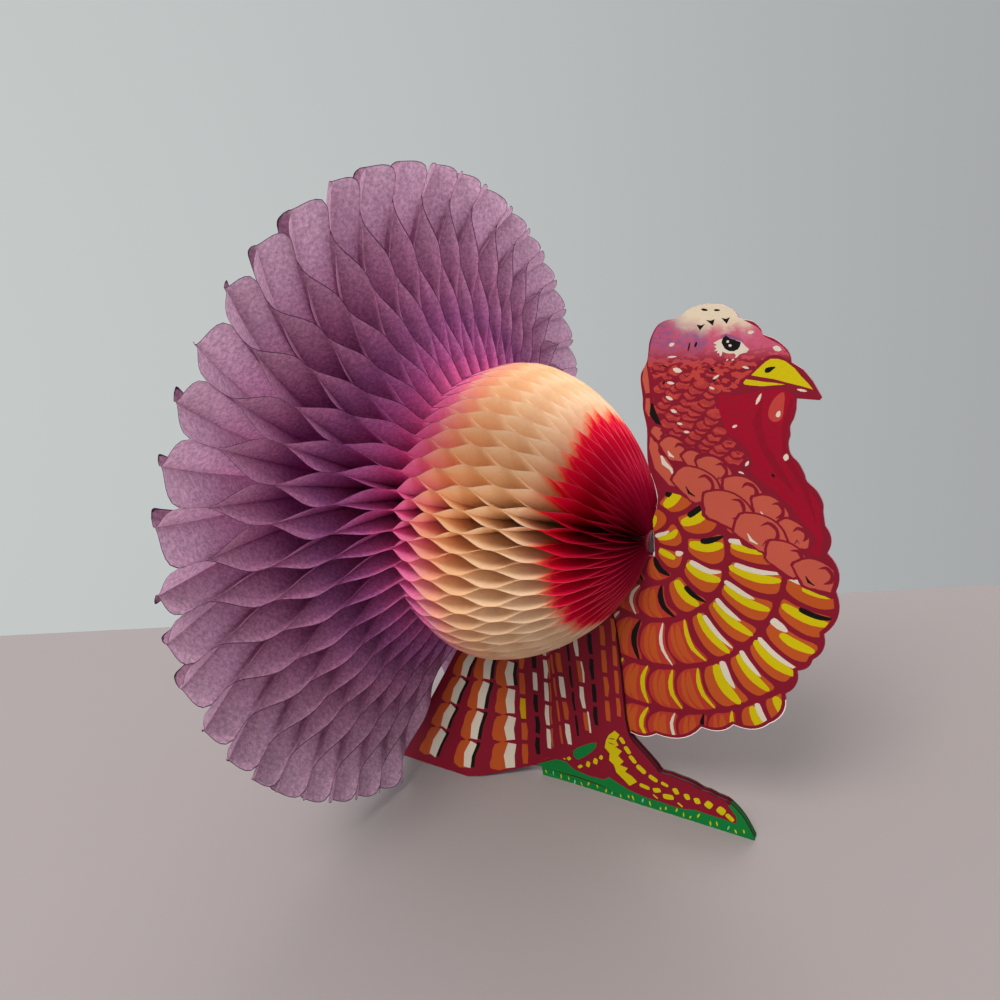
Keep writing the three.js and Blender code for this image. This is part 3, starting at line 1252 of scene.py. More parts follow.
@dataclass
class HeadCard(PrintedCard):
    """Head, neck and breast in one card in the middle plane, printed on both faces."""

    node: str = "head_breast_card"
    body: str = "near_side"
    edge: Ink = Ink.TRIM
    middle: float = 0.0
    rear: float = -13.713
    base: float = 39.235
    length: float = 126.8
    height: float = 190.6
    top_drop: float = 12.0
    front_drop: float = 6.5
    scallop_bulge: float = 0.16
    scallop_steps: int = 7
    grid: float = 2.6
    spine: Spine = field(default_factory=Spine)
    seed: int = 11
    print_shift: Point2 = (0.08, 0.05)
    # The outline from the pole up, round the head and down to the rear, as shares of the
    # card's length and height
    nape_shares: tuple[Point2, ...] = (
        (0.436, 0.555), (0.455, 0.598), (0.449, 0.632), (0.43, 0.675), (0.428, 0.712),
        (0.431, 0.757), (0.421, 0.797), (0.422, 0.822), (0.418, 0.854), (0.422, 0.873),
        (0.441, 0.894), (0.448, 0.916), (0.454, 0.937), (0.476, 0.963), (0.505, 0.974))
    crown_shares: tuple[Point2, ...] = (
        (0.543, 0.978), (0.556, 0.984), (0.58, 0.994), (0.616, 1.0), (0.66, 0.999), (0.685, 0.994),
        (0.711, 0.982), (0.723, 0.97), (0.757, 0.964), (0.778, 0.951), (0.785, 0.94),
        (0.815, 0.931), (0.843, 0.916), (0.857, 0.902), (0.861, 0.888))
    beak_shares: tuple[Point2, ...] = (
        (0.892, 0.874), (0.916, 0.854), (0.942, 0.823), (0.936, 0.818), (0.876, 0.821))
    throat_shares: tuple[Point2, ...] = (
        (0.875, 0.8), (0.869, 0.783), (0.859, 0.768), (0.86, 0.751), (0.855, 0.736),
        (0.861, 0.715), (0.883, 0.698), (0.899, 0.677), (0.906, 0.663), (0.933, 0.645),
        (0.95, 0.622), (0.951, 0.605))
    scallop_shares: tuple[Point2, ...] = (
        (0.957, 0.577), (0.965, 0.521), (0.991, 0.443), (0.961, 0.347), (0.931, 0.286),
        (0.887, 0.254), (0.852, 0.194), (0.804, 0.112), (0.687, 0.087), (0.577, 0.06),
        (0.409, 0.01), (0.294, 0.0))
    # Rings of breast feathers: near end, far end and feather width of each, then their middle
    # and the angles that they span, in degrees
    fan_rings: tuple[Point3, ...] = (
        (7.0, 17.0, 9.0), (19.5, 34.0, 12.5), (36.5, 56.0, 11.5), (58.5, 77.5, 12.0),
        (80.0, 97.0, 13.0), (99.0, 110.0, 13.0))
    fan_centre: Point2 = (37.0, 134.0)
    fan_top: float = 80.0
    fan_bottom: float = -114.0
    hanging_below: float = -62.0
    # Bare margin along the lower front edge
    margin_below: float = 76.0
    margin_ahead: float = 20.0
    # Heights on the head where the skin and its mottling change colour
    skin_floor: float = 200.0
    lilac_span: Span = (207.0, 217.5)
    cream_span: Span = (217.4, 224.6)
    bloom_span: Span = (208.0, 217.0)
    thin_span: Span = (206.0, 217.0)
    # Places along the head where lilac turns to rose and where the cream crown ends
    rose_ahead: float = 66.0
    crown_rear: Span = (50.0, 62.0)
    crown_front: Span = (79.0, 87.0)
    crown_level: float = 222.0
    crown_slope: float = 0.6

    def place(self, share: Point2) -> Point2:
        """Turn a share of the card's size into a point in millimetres."""
        return self.rear + share[0] * self.length, self.base + share[1] * self.height

    def scallops(self) -> list[Point2]:
        """Draw the scalloped front and lower edge of the breast.

        Returns:
            The edge's points, from the throat to the rear.
        """
        corners = [self.place(share) for share in self.scallop_shares]
        points = []
        for (ax, az), (bx, bz) in zip(corners, corners[1:]):
            cx = (ax + bx) / 2 - (bz - az) * self.scallop_bulge * 2
            cz = (az + bz) / 2 + (bx - ax) * self.scallop_bulge * 2
            for step in range(self.scallop_steps):
                t = step / self.scallop_steps
                points.append(((1 - t) ** 2 * ax + 2 * t * (1 - t) * cx + t * t * bx,
                               (1 - t) ** 2 * az + 2 * t * (1 - t) * cz + t * t * bz))
        return points + [corners[-1]]

    def outline(self) -> tuple[Point2, ...]:
        """Draw the cut outline in the card's plane.

        Returns:
            The outline, in millimetres.
        """
        nape_front = self.place(self.nape_shares[0])[0]
        pole_x = self.spine.pole[0]
        rear_top = self.spine.height_at(pole_x - self.rear) - self.top_drop
        front_top = self.spine.height_at(pole_x - nape_front) - self.front_drop
        head = smooth_path([self.place(share) for share in self.nape_shares + self.crown_shares])
        beak = [self.place(share) for share in self.beak_shares]
        throat = smooth_path([self.place(share) for share in self.throat_shares])
        return tuple([(self.rear, rear_top), (nape_front, front_top)] + head + beak + throat
                     + self.scallops())

    def tint(self, ink: Ink, x: float, z: float) -> Colour:
        """Colour an ink at a point: the head's skin pales towards the crown.

        Args:
            ink: The printed area's ink.
            x: The point's place along X, on the drawing.
            z: Its height.

        Returns:
            The colour.
        """
        colour = ink.colour()
        if ink is not Ink.CORAL or z < self.skin_floor:
            return colour
        lilac = Ink.LILAC.colour() if x < self.rose_ahead else Ink.ROSE.colour()
        colour = blend_colours(colour, lilac, smoothstep(*self.lilac_span, z))
        return blend_colours(colour, Ink.CREAM.colour(), self.paleness(x, z))

    def paleness(self, x: float, z: float) -> float:
        """Find how cream the crown is at a point.

        Args:
            x: The point's place along X, on the drawing.
            z: Its height.

        Returns:
            The share of cream.
        """
        wave = 0.7 * math.sin(x * 0.8) + 0.4 * math.sin(x * 2.1)
        rear = smoothstep(*self.crown_rear, x + self.crown_slope * (z - self.crown_level))
        sides = rear * (1 - smoothstep(*self.crown_front, x))
        return smoothstep(*self.cream_span, z + wave) * sides

    def bloom(self, x: float, z: float) -> float:
        """Return how far the mottling turns from red to lilac at a point."""
        return smoothstep(*self.bloom_span, z)

    def fade(self, x: float, z: float) -> float:
        """Return how much of the mottling shows at a point."""
        return (1 - self.paleness(x, z)) * (1 - 0.4 * smoothstep(*self.thin_span, z))

    def face(self) -> list[Patch]:
        """Draw the mottled head with its eye, beak and wattle.

        Returns:
            The printed areas.
        """
        field_of_skin = (
            (42.6, 208.5), (43.6, 214.0), (44.6, 218.2), (46.9, 222.6), (50.4, 224.8),
            (55.0, 225.8), (57.2, 227.2), (60.0, 229.0), (64.4, 230.2), (70.0, 230.0),
            (73.3, 229.0), (76.8, 226.8), (78.2, 224.2), (84.2, 220.8),
            (86.4, 217.6), (91.6, 214.7), (94.6, 211.3), (94.6, 209.4), (91.1, 211.0),
            (88.3, 211.0), (85.8, 209.6), (83.4, 207.2), (80.9, 204.4), (78.0, 202.6),
            (77.4, 200.9), (79.0, 199.4), (74.0, 198.0), (69.8, 197.8), (68.6, 193.0),
            (69.8, 187.4), (71.7, 182.4), (75.7, 178.7), (79.2, 175.2), (80.5, 171.6),
            (79.6, 169.2), (72.0, 170.5), (64.0, 173.5), (58.0, 177.0), (52.5, 179.5),
            (50.2, 182.8), (47.2, 187.5), (45.6, 191.5), (44.2, 195.2), (45.3, 202.0))
        wattle = (
            (70.1, 197.2), (69.4, 192.6), (71.0, 187.4), (72.7, 182.8), (76.7, 179.7),
            (80.3, 175.8), (81.8, 172.0), (81.2, 168.4), (84.1, 165.3), (88.6, 162.4),
            (92.7, 158.5), (96.5, 154.7), (99.2, 150.7), (102.0, 143.0), (104.0, 136.0),
            (106.3, 139.0), (106.6, 148.0), (105.4, 157.0), (101.6, 163.2), (98.8, 169.6),
            (95.3, 174.0), (94.3, 179.3), (94.7, 185.2), (96.4, 190.7), (96.6, 196.2),
            (92.5, 198.9), (84.0, 198.1), (76.3, 196.7))
        patches = [
            Patch(Ink.CORAL, smooth_loop(field_of_skin, 2), mottle=1.0),
            *self.neck_scales(),
            Patch(Ink.SCARLET, smooth_loop(wattle, 2), mottle=0.3),
            Patch(Ink.CRIMSON, stroke(((85.5, 195), (83.6, 187), (86, 178), (92, 168), (97, 161)),
                                      (0.4, 3.4, 2.6, 3.0, 0.3)), mottle=0.3),
            Patch(Ink.CRIMSON, stroke(((96, 196), (93.4, 185), (94.0, 174), (100.5, 163),
                                       (104.6, 150)), (1.0, 2.6, 2.4, 2.2, 0.6)), mottle=0.2),
            Patch(Ink.CORAL, smooth_loop(((93.2, 197.6), (90.8, 196.8), (88.6, 193.8),
                                          (87.6, 190.0), (88.6, 187.7), (90.4, 187.2),
                                          (92.1, 188.3), (92.9, 191.0)), 3)),
            Patch(Ink.WHITE, smooth_loop(((91.7, 191.3), (90.6, 190.6), (90.3, 189.3),
                                          (91.2, 188.9), (91.9, 189.7)), 2)),
            Patch(Ink.YELLOW, ((81.7, 204.1), (84.3, 206.6), (86.7, 208.8), (88.5, 209.8),
                               (91.1, 209.7), (93.4, 208.9), (96.5, 206.4), (98.6, 203.7),
                               (101.1, 201.0), (102.7, 198.9), (99.1, 200.0), (95.0, 201.1),
                               (89.3, 202.7), (85.6, 203.3))),
            Patch(Ink.YELLOW, ((78.9, 201.4), (79.8, 202.7), (82.4, 202.3), (86.1, 201.7),
                               (89.8, 201.3), (93.5, 200.7), (89.3, 200.4), (85.6, 200.1),
                               (81.8, 200.4), (79.2, 200.8))),
            Patch(Ink.BLACK, smooth_loop(((86.4, 205.5), (86.9, 206.6), (88.8, 207.0),
                                          (90.2, 206.9), (89.3, 206.0), (88.0, 205.0),
                                          (86.8, 204.9)), 2)),
            Patch(Ink.LILAC, smooth_loop(((70.6, 217.8), (72.8, 219.2), (76.6, 217.9),
                                          (79.0, 216.4), (78.4, 215.6), (76.6, 216.5),
                                          (73.3, 217.9)), 2)),
            Patch(Ink.WHITE, (
                (68.2, 216.0), (70.0, 216.9), (71.3, 217.4), (72.8, 218.2), (76.0, 216.8),
                (78.3, 216.2), (79.5, 214.8), (81.0, 213.3), (80.1, 212.2), (78.7, 212.0),
                (77.6, 211.6), (76.7, 210.6), (75.9, 210.4), (76.4, 211.3), (75.7, 212.1),
                (74.2, 212.0), (72.7, 212.3), (71.5, 212.8), (71.2, 211.5), (70.6, 211.1),
                (70.3, 212.4), (69.5, 212.2), (69.8, 213.2), (68.5, 213.0), (69.4, 214.1),
                (68.5, 214.8), (69.7, 215.3))),
            Patch(Ink.BLACK, ((71.2, 216.0), (71.6, 217.5), (72.8, 218.6), (74.1, 217.6),
                              (76.0, 216.8), (78.2, 216.0), (77.8, 214.4), (77.0, 213.4),
                              (75.6, 212.8), (74.0, 212.9), (72.4, 213.8))),
            Patch(Ink.WHITE, glint((73.5, 216.3), 0.45, seed=1)),
            Patch(Ink.WHITE, glint((74.3, 214.9), 0.5, seed=2)),
        ]
        # Middle, length, width and slope of each fleck
        white = (
            (90.7, 213.3, 3.0, 1.9, -20), (84.3, 195.5, 4.4, 1.2, 65), (54.3, 206.3, 3.6, 1.9, -15),
            (51.5, 201.5, 2.9, 1.2, -8), (50.7, 195.6, 3.0, 1.3, -25), (52.3, 190.6, 2.6, 1.3, -20),
            (54.5, 185.7, 2.2, 1.0, -10), (57.1, 182.5, 2.2, 1.1, 0), (52.5, 216.0, 2.2, 1.4, 20),
            (52.4, 211.4, 3.6, 0.7, 3), (81.7, 219.3, 2.2, 1.2, 5), (99.1, 198.6, 3.4, 0.9, -12),
            (67.3, 199.5, 2.2, 0.9, -20), (69.0, 203.6, 2.8, 0.9, 30), (75.6, 185.2, 2.0, 1.0, 25),
            (80.0, 171.1, 2.4, 1.1, 60), (77.8, 167.3, 2.2, 1.0, -20), (93.9, 174.2, 2.6, 2.0, 80),
            (79.8, 206.9, 2.4, 0.9, -15), (73.2, 209.8, 1.0, 0.5, 40), (75.2, 209.8, 1.2, 0.6, 40))
        black = (
            (65.3, 228.0, 2.6, 0.9, -12), (69.8, 227.6, 2.4, 0.8, -5), (59.1, 215.0, 3.6, 0.7, 75),
            (61.7, 215.7, 2.2, 1.0, 70), (49.4, 207.9, 2.6, 0.6, -25), (48.7, 201.6, 1.6, 0.9, 60),
            (67.6, 206.3, 2.0, 1.0, -20), (68.4, 202.4, 1.8, 0.6, 15), (89.4, 167.0, 1.6, 1.1, -50))
        for ink, flecks in ((Ink.WHITE, white), (Ink.BLACK, black)):
            patches += [Patch(ink, fleck((x, z), length, width, slope))
                        for x, z, length, width, slope in flecks]
        for x, z, lean in ((67.4, 223.5, 0.8), (73.0, 223.9, 0.2), (63.9, 222.0, -0.5)):
            patches.append(Patch(Ink.BLACK, ((x - 1.7, z + 0.9), (x, z + 0.5), (x + 1.5, z + 1.0),
                                             (x + lean, z - 1.3))))
        return patches

    def neck_scales(self) -> list[Patch]:
        """Draw the rows of rounded scales down the neck, each over a dark rim.

        Returns:
            The printed areas.
        """
        chance = random.Random(self.seed + 2)
        patches = [Patch(Ink.MAROON, smooth_loop((
            (44.6, 203.0), (52.0, 204.6), (60.0, 203.0), (66.0, 200.4), (69.4, 196.8),
            (68.2, 192.0), (69.4, 187.0), (71.8, 182.0), (76.0, 178.4), (79.6, 174.6),
            (80.0, 169.4), (72.0, 170.8), (64.0, 174.0), (57.6, 177.4), (52.0, 180.0),
            (49.4, 183.6), (46.6, 188.0), (44.8, 192.6), (44.2, 197.6)), 2))]
        for row in reversed(range(10)):
            for column in range(-6, 9):
                along = (column + 0.5 * (row % 2)) * 6.0 + chance.uniform(-0.7, 0.7)
                x = 58.0 + along * 0.9 + row * 0.75
                z = 203.0 - row * 3.3 - along * 0.4 + chance.uniform(-0.5, 0.5)
                inside = 46.4 < x < 68.6 + max(0.0, (190.0 - z) * 0.55) and z > 171.4
                if not inside or x < 46.4 + max(0.0, (187.0 - z) * 0.9):
                    continue
                size = chance.uniform(0.8, 1.15)
                curve = [(x + 3.1 * size * math.cos(t) * chance.uniform(0.88, 1.12),
                          z + 1.9 * size * math.sin(t) * chance.uniform(0.8, 1.2))
                         for t in (-3.4, -2.8, -2.2, -1.6, -1.0, -0.4, 0.2, 1.0, 1.9, 2.5)]
                patches.append(Patch(Ink.CORAL, smooth_loop(curve, 2), mottle=0.35))
                patches.append(Patch(Ink.MAROON, stroke(
                    curve[:7], (0.3, 1.0, 0.8, 1.2, 0.8, 1.1, 0.3))))
                if chance.random() < 0.45:
                    vein = ((x - size, z + 1.3), (x + 0.2, z + 0.4 * size),
                            (x + 1.5 * size, z + 1.1))
                    patches.append(Patch(Ink.MAROON, stroke(vein, (0.2, 0.8, 0.2))))
        return patches

    def ruffle(self) -> list[Patch]:
        """Draw the collar of round salmon lobes between the neck and the breast.

        Returns:
            The printed areas.
        """
        chance = random.Random(self.seed)
        patches = [
            Patch(Ink.MAROON, stroke(((42.9, 184), (42.6, 176), (45.2, 168), (50.6, 161.2),
                                      (56.5, 158.6)), (6.5, 7.5, 9.5, 9.0, 5.0))),
            Patch(Ink.SALMON, stroke(((43.6, 183), (43.6, 176), (46.3, 168.8), (51.2, 162.8),
                                      (56.0, 160.6)), (2.0, 4.4, 6.6, 6.0, 2.6))),
            Patch(Ink.SALMON, stroke(((41.6, 209), (41.3, 203), (42.0, 197.6)), (0.8, 2.6, 1.8))),
            Patch(Ink.SALMON, stroke(((41.9, 195.6), (41.7, 191), (42.3, 188.4)), (1.6, 2.2, 1.0))),
            Patch(Ink.BLACK, stroke(((43.4, 193.6), (43.7, 189.6), (46.2, 184.9), (49.4, 179.6)),
                                    (0.8, 3.0, 1.8, 0.8))),
            Patch(Ink.WHITE, stroke(((46.4, 172.6), (47.4, 169.6), (50.0, 167.4), (51.6, 165.6),
                                     (53.8, 163.9)), (0.8, 2.1, 1.3, 2.4, 0.8))),
        ]
        lobes = (
            (45.8, 181.6, 2.6), (52.2, 175.4, 4.8), (60.0, 171.4, 3.8), (67.6, 167.6, 5.6),
            (78.0, 160.6, 5.8), (88.4, 153.4, 5.6), (96.6, 144.8, 5.2), (60.6, 161.6, 7.4),
            (72.4, 152.4, 7.8), (84.6, 144.4, 7.6), (94.6, 134.8, 6.6), (105.2, 129.4, 6.4))
        for x, z, size in lobes:
            patches.append(Patch(Ink.MAROON, self.tuft(x, z, size + 1.4, chance)))
        for number, (x, z, size) in enumerate(lobes):
            state = chance.getstate()
            patches.append(Patch(Ink.MAROON, self.tuft(x, z, size + 0.9, chance)))
            chance.setstate(state)
            patches.append(Patch(Ink.SALMON, self.tuft(x, z, size, chance)))
            patches += self.lobe_marks(x, z, size, number, chance)
        return patches

    def tuft(self, x: float, z: float, size: float, chance: random.Random) -> tuple[Point2, ...]:
        """Return the outline of one lobe: longer than high, slanting down, with a ruffled edge.

        Args:
            x: Middle of the lobe along X, on the drawing.
            z: Its height.
            size: Its mean radius.
            chance: Source of the unevenness.

        Returns:
            The outline.
        """
        phase = chance.uniform(0.0, 6.28)
        slant = math.radians(-32) + chance.uniform(-0.2, 0.2)
        outline = []
        for step in range(28):
            turn = step * math.tau / 28
            ruffled = 0.09 * max(0.0, math.sin(turn * 5 + phase)) * (1.2 - math.sin(turn))
            reach = size * (1.0 + ruffled)
            across, up = 1.25 * reach * math.cos(turn), 0.84 * reach * math.sin(turn)
            outline.append((x + across * math.cos(slant) - up * math.sin(slant),
                            z + across * math.sin(slant) + up * math.cos(slant)))
        return tuple(outline)

    def lobe_marks(self, x: float, z: float, size: float, number: int,
                   chance: random.Random) -> list[Patch]:
        """Draw the curl and the small highlight or shadow on one lobe of the collar.

        Args:
            x: Middle of the lobe along X, on the drawing.
            z: Its height.
            size: Its mean radius.
            number: Running number, which picks the highlight.
            chance: Source of the unevenness.

        Returns:
            The marks.
        """
        turn = chance.uniform(-0.5, 0.5)
        curl = [(x + size * 0.5 + size * reach * math.cos(t + turn),
                 z + size * 0.1 + size * reach * math.sin(t + turn))
                for t, reach in ((2.7, 0.5), (1.9, 0.42), (1.0, 0.3), (0.0, 0.34), (-0.8, 0.5),
                                 (-1.5, 0.62))]
        patches = [Patch(Ink.MAROON, soft_stroke(curl, (0.3, 1.3, 1.6, 1.2, 1.7, 0.4)))]
        if number % 2:
            mark = [(x - size * 0.62, z - size * 0.15), (x - size * 0.45, z - size * 0.5),
                    (x - size * 0.12, z - size * 0.68)]
            ink, thick = (Ink.WHITE, 1.3) if number % 4 == 1 else (Ink.BLACK, 1.1)
            patches.append(Patch(ink, stroke(mark, (0.3, thick, 0.4))))
        if number % 3 == 0:
            tick = [(x + size * 0.1, z - size * 0.75), (x + size * 0.3, z - size * 0.45),
                    (x + size * 0.42, z - size * 0.7)]
            patches.append(Patch(Ink.MAROON, stroke(tick, (0.3, 1.0, 0.3))))
        return patches

    def fan_point(self, reach: float, degrees: float) -> Point2:
        """Place a point among the rings of feathers.

        Args:
            reach: Distance from the rings' middle.
            degrees: Angle above the level line ahead.

        Returns:
            The point on the drawing.
        """
        turn = math.radians(degrees)
        return (self.fan_centre[0] + reach * math.cos(turn),
                self.fan_centre[1] + reach * math.sin(turn))

    def feather(self, near: float, far: float, low: float, high: float, kind: Feather,
                chance: random.Random) -> list[Patch]:
        """Draw one breast feather as a curved tile of a ring, with bands along its upper side.

        Args:
            near: Distance of its inner end from the rings' middle.
            far: Distance of its outer end.
            low: Angle of its lower edge, in degrees.
            high: Angle of its upper edge, in degrees.
            kind: The feather's kind.
            chance: Source of the unevenness.

        Returns:
            The feather's patches.
        """
        hanging = (low + high) / 2 < self.hanging_below
        sag = 0.26 if hanging else 0.16
        size = math.radians(high - low) * (near + far) / 2

        def at(reach: float, turn: float) -> Point2:
            """Place a point of the feather, a little unevenly.

            Args:
                reach: Share of the feather's length.
                turn: Share of its width.

            Returns:
                The point on the drawing.
            """
            shift = turn - sag * (4 * reach * (1 - reach) - 0.5)
            return self.fan_point(near + (far - near) * reach + chance.uniform(-0.3, 0.3),
                                  low + (high - low) * (shift + chance.uniform(-0.02, 0.02)))

        body = smooth_loop((at(0.03, 0.16), at(0.3, 0.02), at(0.7, 0.0), at(0.97, 0.12),
                            at(1.0, 0.5), at(0.97, 0.94), at(0.62, 0.99), at(0.3, 0.98),
                            at(0.03, 0.93), at(0.0, 0.5)), 3)
        if hanging:
            return self.hanging_feather(at, body, size, kind)
        bands = kind.value
        start, stop = bands.yellow
        yellow = [at(start + (stop - start) * step / 3, 0.63) for step in range(4)]
        broad = size * bands.yellow_width
        start, stop = bands.upper
        upper = [at(start + (stop - start) * step / 3, 0.89) for step in range(4)]
        thick = size * bands.upper_width
        return [
            Patch(Ink.ORANGE, body),
            Patch(Ink.YELLOW, soft_stroke(
                yellow, (broad * 0.62, broad, broad * 0.94, broad * 0.5))),
            Patch(bands.upper_ink, soft_stroke(
                upper, (thick * 0.8, thick, thick * 0.9, thick * 0.35))),
        ]

    def hanging_feather(self, at: Callable[[float, float], Point2], body: tuple[Point2, ...],
                        size: float, kind: Feather) -> list[Patch]:
        """Draw one of the long feathers that hang at the breast's lower edge.

        Args:
            at: Turns shares along and across the feather into a point.
            body: The feather's outline.
            size: Its width.
            kind: The feather's kind.

        Returns:
            The feather's patches.
        """
        patches = [Patch(Ink.RUST, body)]
        for across, wide in ((0.22, 0.16), (0.46, 0.26)):
            brushed = [at(0.08, across), at(0.4, across + 0.04), at(0.75, across), at(0.96, across)]
            patches.append(Patch(Ink.ORANGE, soft_stroke(
                brushed, (size * wide * 0.4, size * wide, size * wide, size * wide * 0.4))))
        band = [at(0.02, 0.82), at(0.32, 0.84), at(0.66, 0.84), at(0.98, 0.82)]
        thick = kind.value.hanging_width
        patches.append(Patch(kind.value.hanging_ink, soft_stroke(
            band, (thick * 0.4, thick, thick, thick * 0.45))))
        return patches

    def breast(self) -> list[Patch]:
        """Draw the rings of breast feathers.

        Returns:
            The printed areas.
        """
        chance = random.Random(self.seed + 1)
        patches: list[Patch] = []
        kinds = (Feather.HALF_EDGED, *Feather)
        for ring, (near, far, width) in enumerate(self.fan_rings):
            middle = (near + far) / 2
            high = self.fan_top - (ring % 2) * math.degrees(width / middle) * 0.5
            while high > self.fan_bottom:
                hanging = high < self.hanging_below + 6
                step = math.degrees((width + (1.5 if hanging else 0.0)) / middle)
                gap = math.degrees((1.0 if hanging else 2.2) / middle)
                patches += self.feather(near, far, high - step + gap, high,
                                        chance.choice(kinds), chance)
                high -= step
        return patches

    def shadow_of_the_head(self) -> list[Patch]:
        """Cover the feather rows behind the neck, the collar and the throat."""
        return [Patch(Ink.MAROON, (
            (30.0, 168.0), (46.0, 166.0), (56.0, 160.0), (66.0, 156.0), (79.0, 152.0),
            (88.0, 145.0), (97.0, 139.0), (106.0, 131.0), (125.0, 128.0), (125.0, 240.0),
            (30.0, 240.0)))]

    def edging(self) -> list[Patch]:
        """Draw the plain border of the breast, with a thin bare margin below.

        Returns:
            The printed areas.
        """
        border = self.scallops()
        lower = [(x, z) for x, z in border if z < self.margin_below and x > self.margin_ahead]
        throat = [self.place(share) for share in self.throat_shares]
        return [
            Patch(Ink.MAROON, stroke(throat + border[:-1], [2.0] * len(throat)
                                     + [3.6] * (len(border) - 1))),
            Patch(Ink.BOARD, stroke(lower, [0.7] * len(lower))),
        ]

    def artwork(self) -> list[Patch]:
        """List everything that is printed on the card.

        Returns:
            The areas, the lowest layer first.
        """
        ground = Patch(Ink.MAROON, moved(self.outline(), *self.print_shift))
        covered = self.breast() + self.shadow_of_the_head()
        return [ground] + covered + self.face() + self.ruffle() + self.edging()


@dataclass
class LegCard(PrintedCard):
    """Belly, leg, foot and grass base in one card that bows outwards at the belly."""

    side: Side = Side.NEAR
    length: float = 186.5
    rear_setback: float = 145.0
    top_drop: float = 14.5
    bow_depth: float = 18.8
    bow_front: float = 60.0
    bow_rear: float = 104.0
    spine: Spine = field(default_factory=Spine)
    seed: int = 23
    print_shift: Point2 = (-0.7, -0.2)
    # The top edge and the lower edge, both from the rear, as shares of the card's length and
    # height
    top_shares: tuple[Point2, ...] = (
        (0.0, 0.004), (0.241, 0.56), (0.263, 1.0), (0.645, 0.905), (0.654, 0.87), (0.663, 0.81),
        (0.673, 0.729), (0.681, 0.657), (0.685, 0.571), (0.688, 0.465), (0.691, 0.338),
        (0.7, 0.272), (0.72, 0.24), (0.743, 0.209), (0.765, 0.177), (0.775, 0.159), (0.8, 0.16),
        (0.822, 0.155), (0.838, 0.154), (0.86, 0.147), (0.879, 0.136), (0.895, 0.136),
        (0.915, 0.127), (0.937, 0.123), (0.955, 0.105), (0.973, 0.079), (0.988, 0.045),
        (1.0, 0.011))
    bottom_shares: tuple[Point2, ...] = (
        (0.0, 0.0), (0.102, 0.0), (0.241, 0.0), (0.279, 0.006), (0.31, 0.012), (0.343, 0.019),
        (0.38, 0.031), (0.407, 0.039), (0.428, 0.037), (0.43, 0.0), (1.0, 0.0))
    # Height where a bar's place is given, and where the broad and the narrow bars end
    bar_level: float = 60.0
    broad_top: float = 122.0
    narrow_top: float = 118.0

    @property
    def rear(self) -> float:
        """Rear corner along X."""
        return self.spine.pole[0] - self.rear_setback

    @property
    def height(self) -> float:
        """Height of the card at its rear corner's setback."""
        return self.spine.height_at(self.rear_setback) - self.top_drop

    def place(self, share: Point2) -> Point2:
        """Turn a share of the card's size into a point, kept below the spine.

        Args:
            share: Shares of the card's length and height.

        Returns:
            The point in millimetres.
        """
        x = self.rear + share[0] * self.length
        limit = self.spine.height_at(self.spine.pole[0] - x) - self.top_drop
        return x, min(limit, share[1] * self.height)

    def outline(self) -> tuple[Point2, ...]:
        """Draw the cut outline in the card's plane.

        Returns:
            The outline, in millimetres.
        """
        base = [self.place(share) for share in self.bottom_shares]
        top = [self.place(share) for share in self.top_shares[:4]]
        front = smooth_path([self.place(share) for share in self.top_shares[3:]], 2)
        return tuple(base + (top[1:3] + front)[::-1])

    def bow(self, x: float, z: float) -> float:
        """Find the sideways place of the card's middle: its lower rear part bows outwards.

        Args:
            x: The point's place along X, on the drawing.
            z: Its height.

        Returns:
            The place along Y.
        """
        setback = self.spine.pole[0] - x
        reach = smoothstep(self.bow_front, self.bow_rear, setback)
        drop = 1 - z / self.spine.height_at(setback)
        return self.middle + self.side.value * self.bow_depth * drop ** 2 * reach

    def wide_column(self, x: float, slope: float, growth: float, black_above: float,
                    chance: random.Random) -> list[Patch]:
        """Draw a column of broad belly feathers, each with a white and a black band.

        Args:
            x: Place of the column's middle at the bar level.
            slope: How far the column runs backwards for each millimetre down.
            growth: How much broader the feathers are at the floor.
            black_above: Height above which the feathers have a black band.
            chance: Source of the unevenness.

        Returns:
            The column's patches.
        """
        patches: list[Patch] = []
        z = 2.5 + chance.uniform(0, 3)
        while z < self.broad_top:
            tall = chance.uniform(12.6, 15.2)
            below = self.bar_level - z
            low, high = x - slope * below, x - slope * (below - tall)
            share = 1 - (z + tall / 2) / self.bar_level
            width = 6.2 + growth * max(-0.2, share)
            lean = chance.uniform(-0.7, 0.7)
            corners = ((low - width * 0.5, z + 0.4), (low + width * 0.55, z + lean * 0.4),
                       (high + width * 0.55, z + tall), (high - width * 0.36, z + tall - 0.3),
                       ((low + high) / 2 - width * 0.5 + lean, z + tall * 0.5))
            patches.append(Patch(Ink.ORANGE, smooth_loop(corners, 2)))
            thick = 4.1 + growth * 0.45 * max(-0.2, share)
            path = [(low + width * 0.62, z), ((low + high) / 2 + width * 0.5 + lean * 0.5,
                                              z + tall * 0.5), (high + width * 0.66, z + tall)]
            if z > black_above:
                shifted = moved(path, thick * 0.5 + 0.7, 0.3)
                patches.append(Patch(Ink.BLACK, stroke(shifted, (1.9, 2.4, 1.9))))
            patches.append(Patch(Ink.WHITE, stroke(path, (thick * 0.85, thick, thick * 0.8))))
            z += tall + 2.0
        return patches

    def bars(self) -> list[Patch]:
        """Draw the belly feathers as columns of short bars.

        Returns:
            The printed areas.
        """
        chance = random.Random(self.seed)
        patches: list[Patch] = []
        for x, slope, growth, black_above in ((-62.6, 0.46, 2.6, 0.0), (-51.3, 0.24, 1.2, 0.0),
                                              (-39.9, 0.08, 2.2, 40.0)):
            patches += self.wide_column(x, slope, growth, black_above, chance)
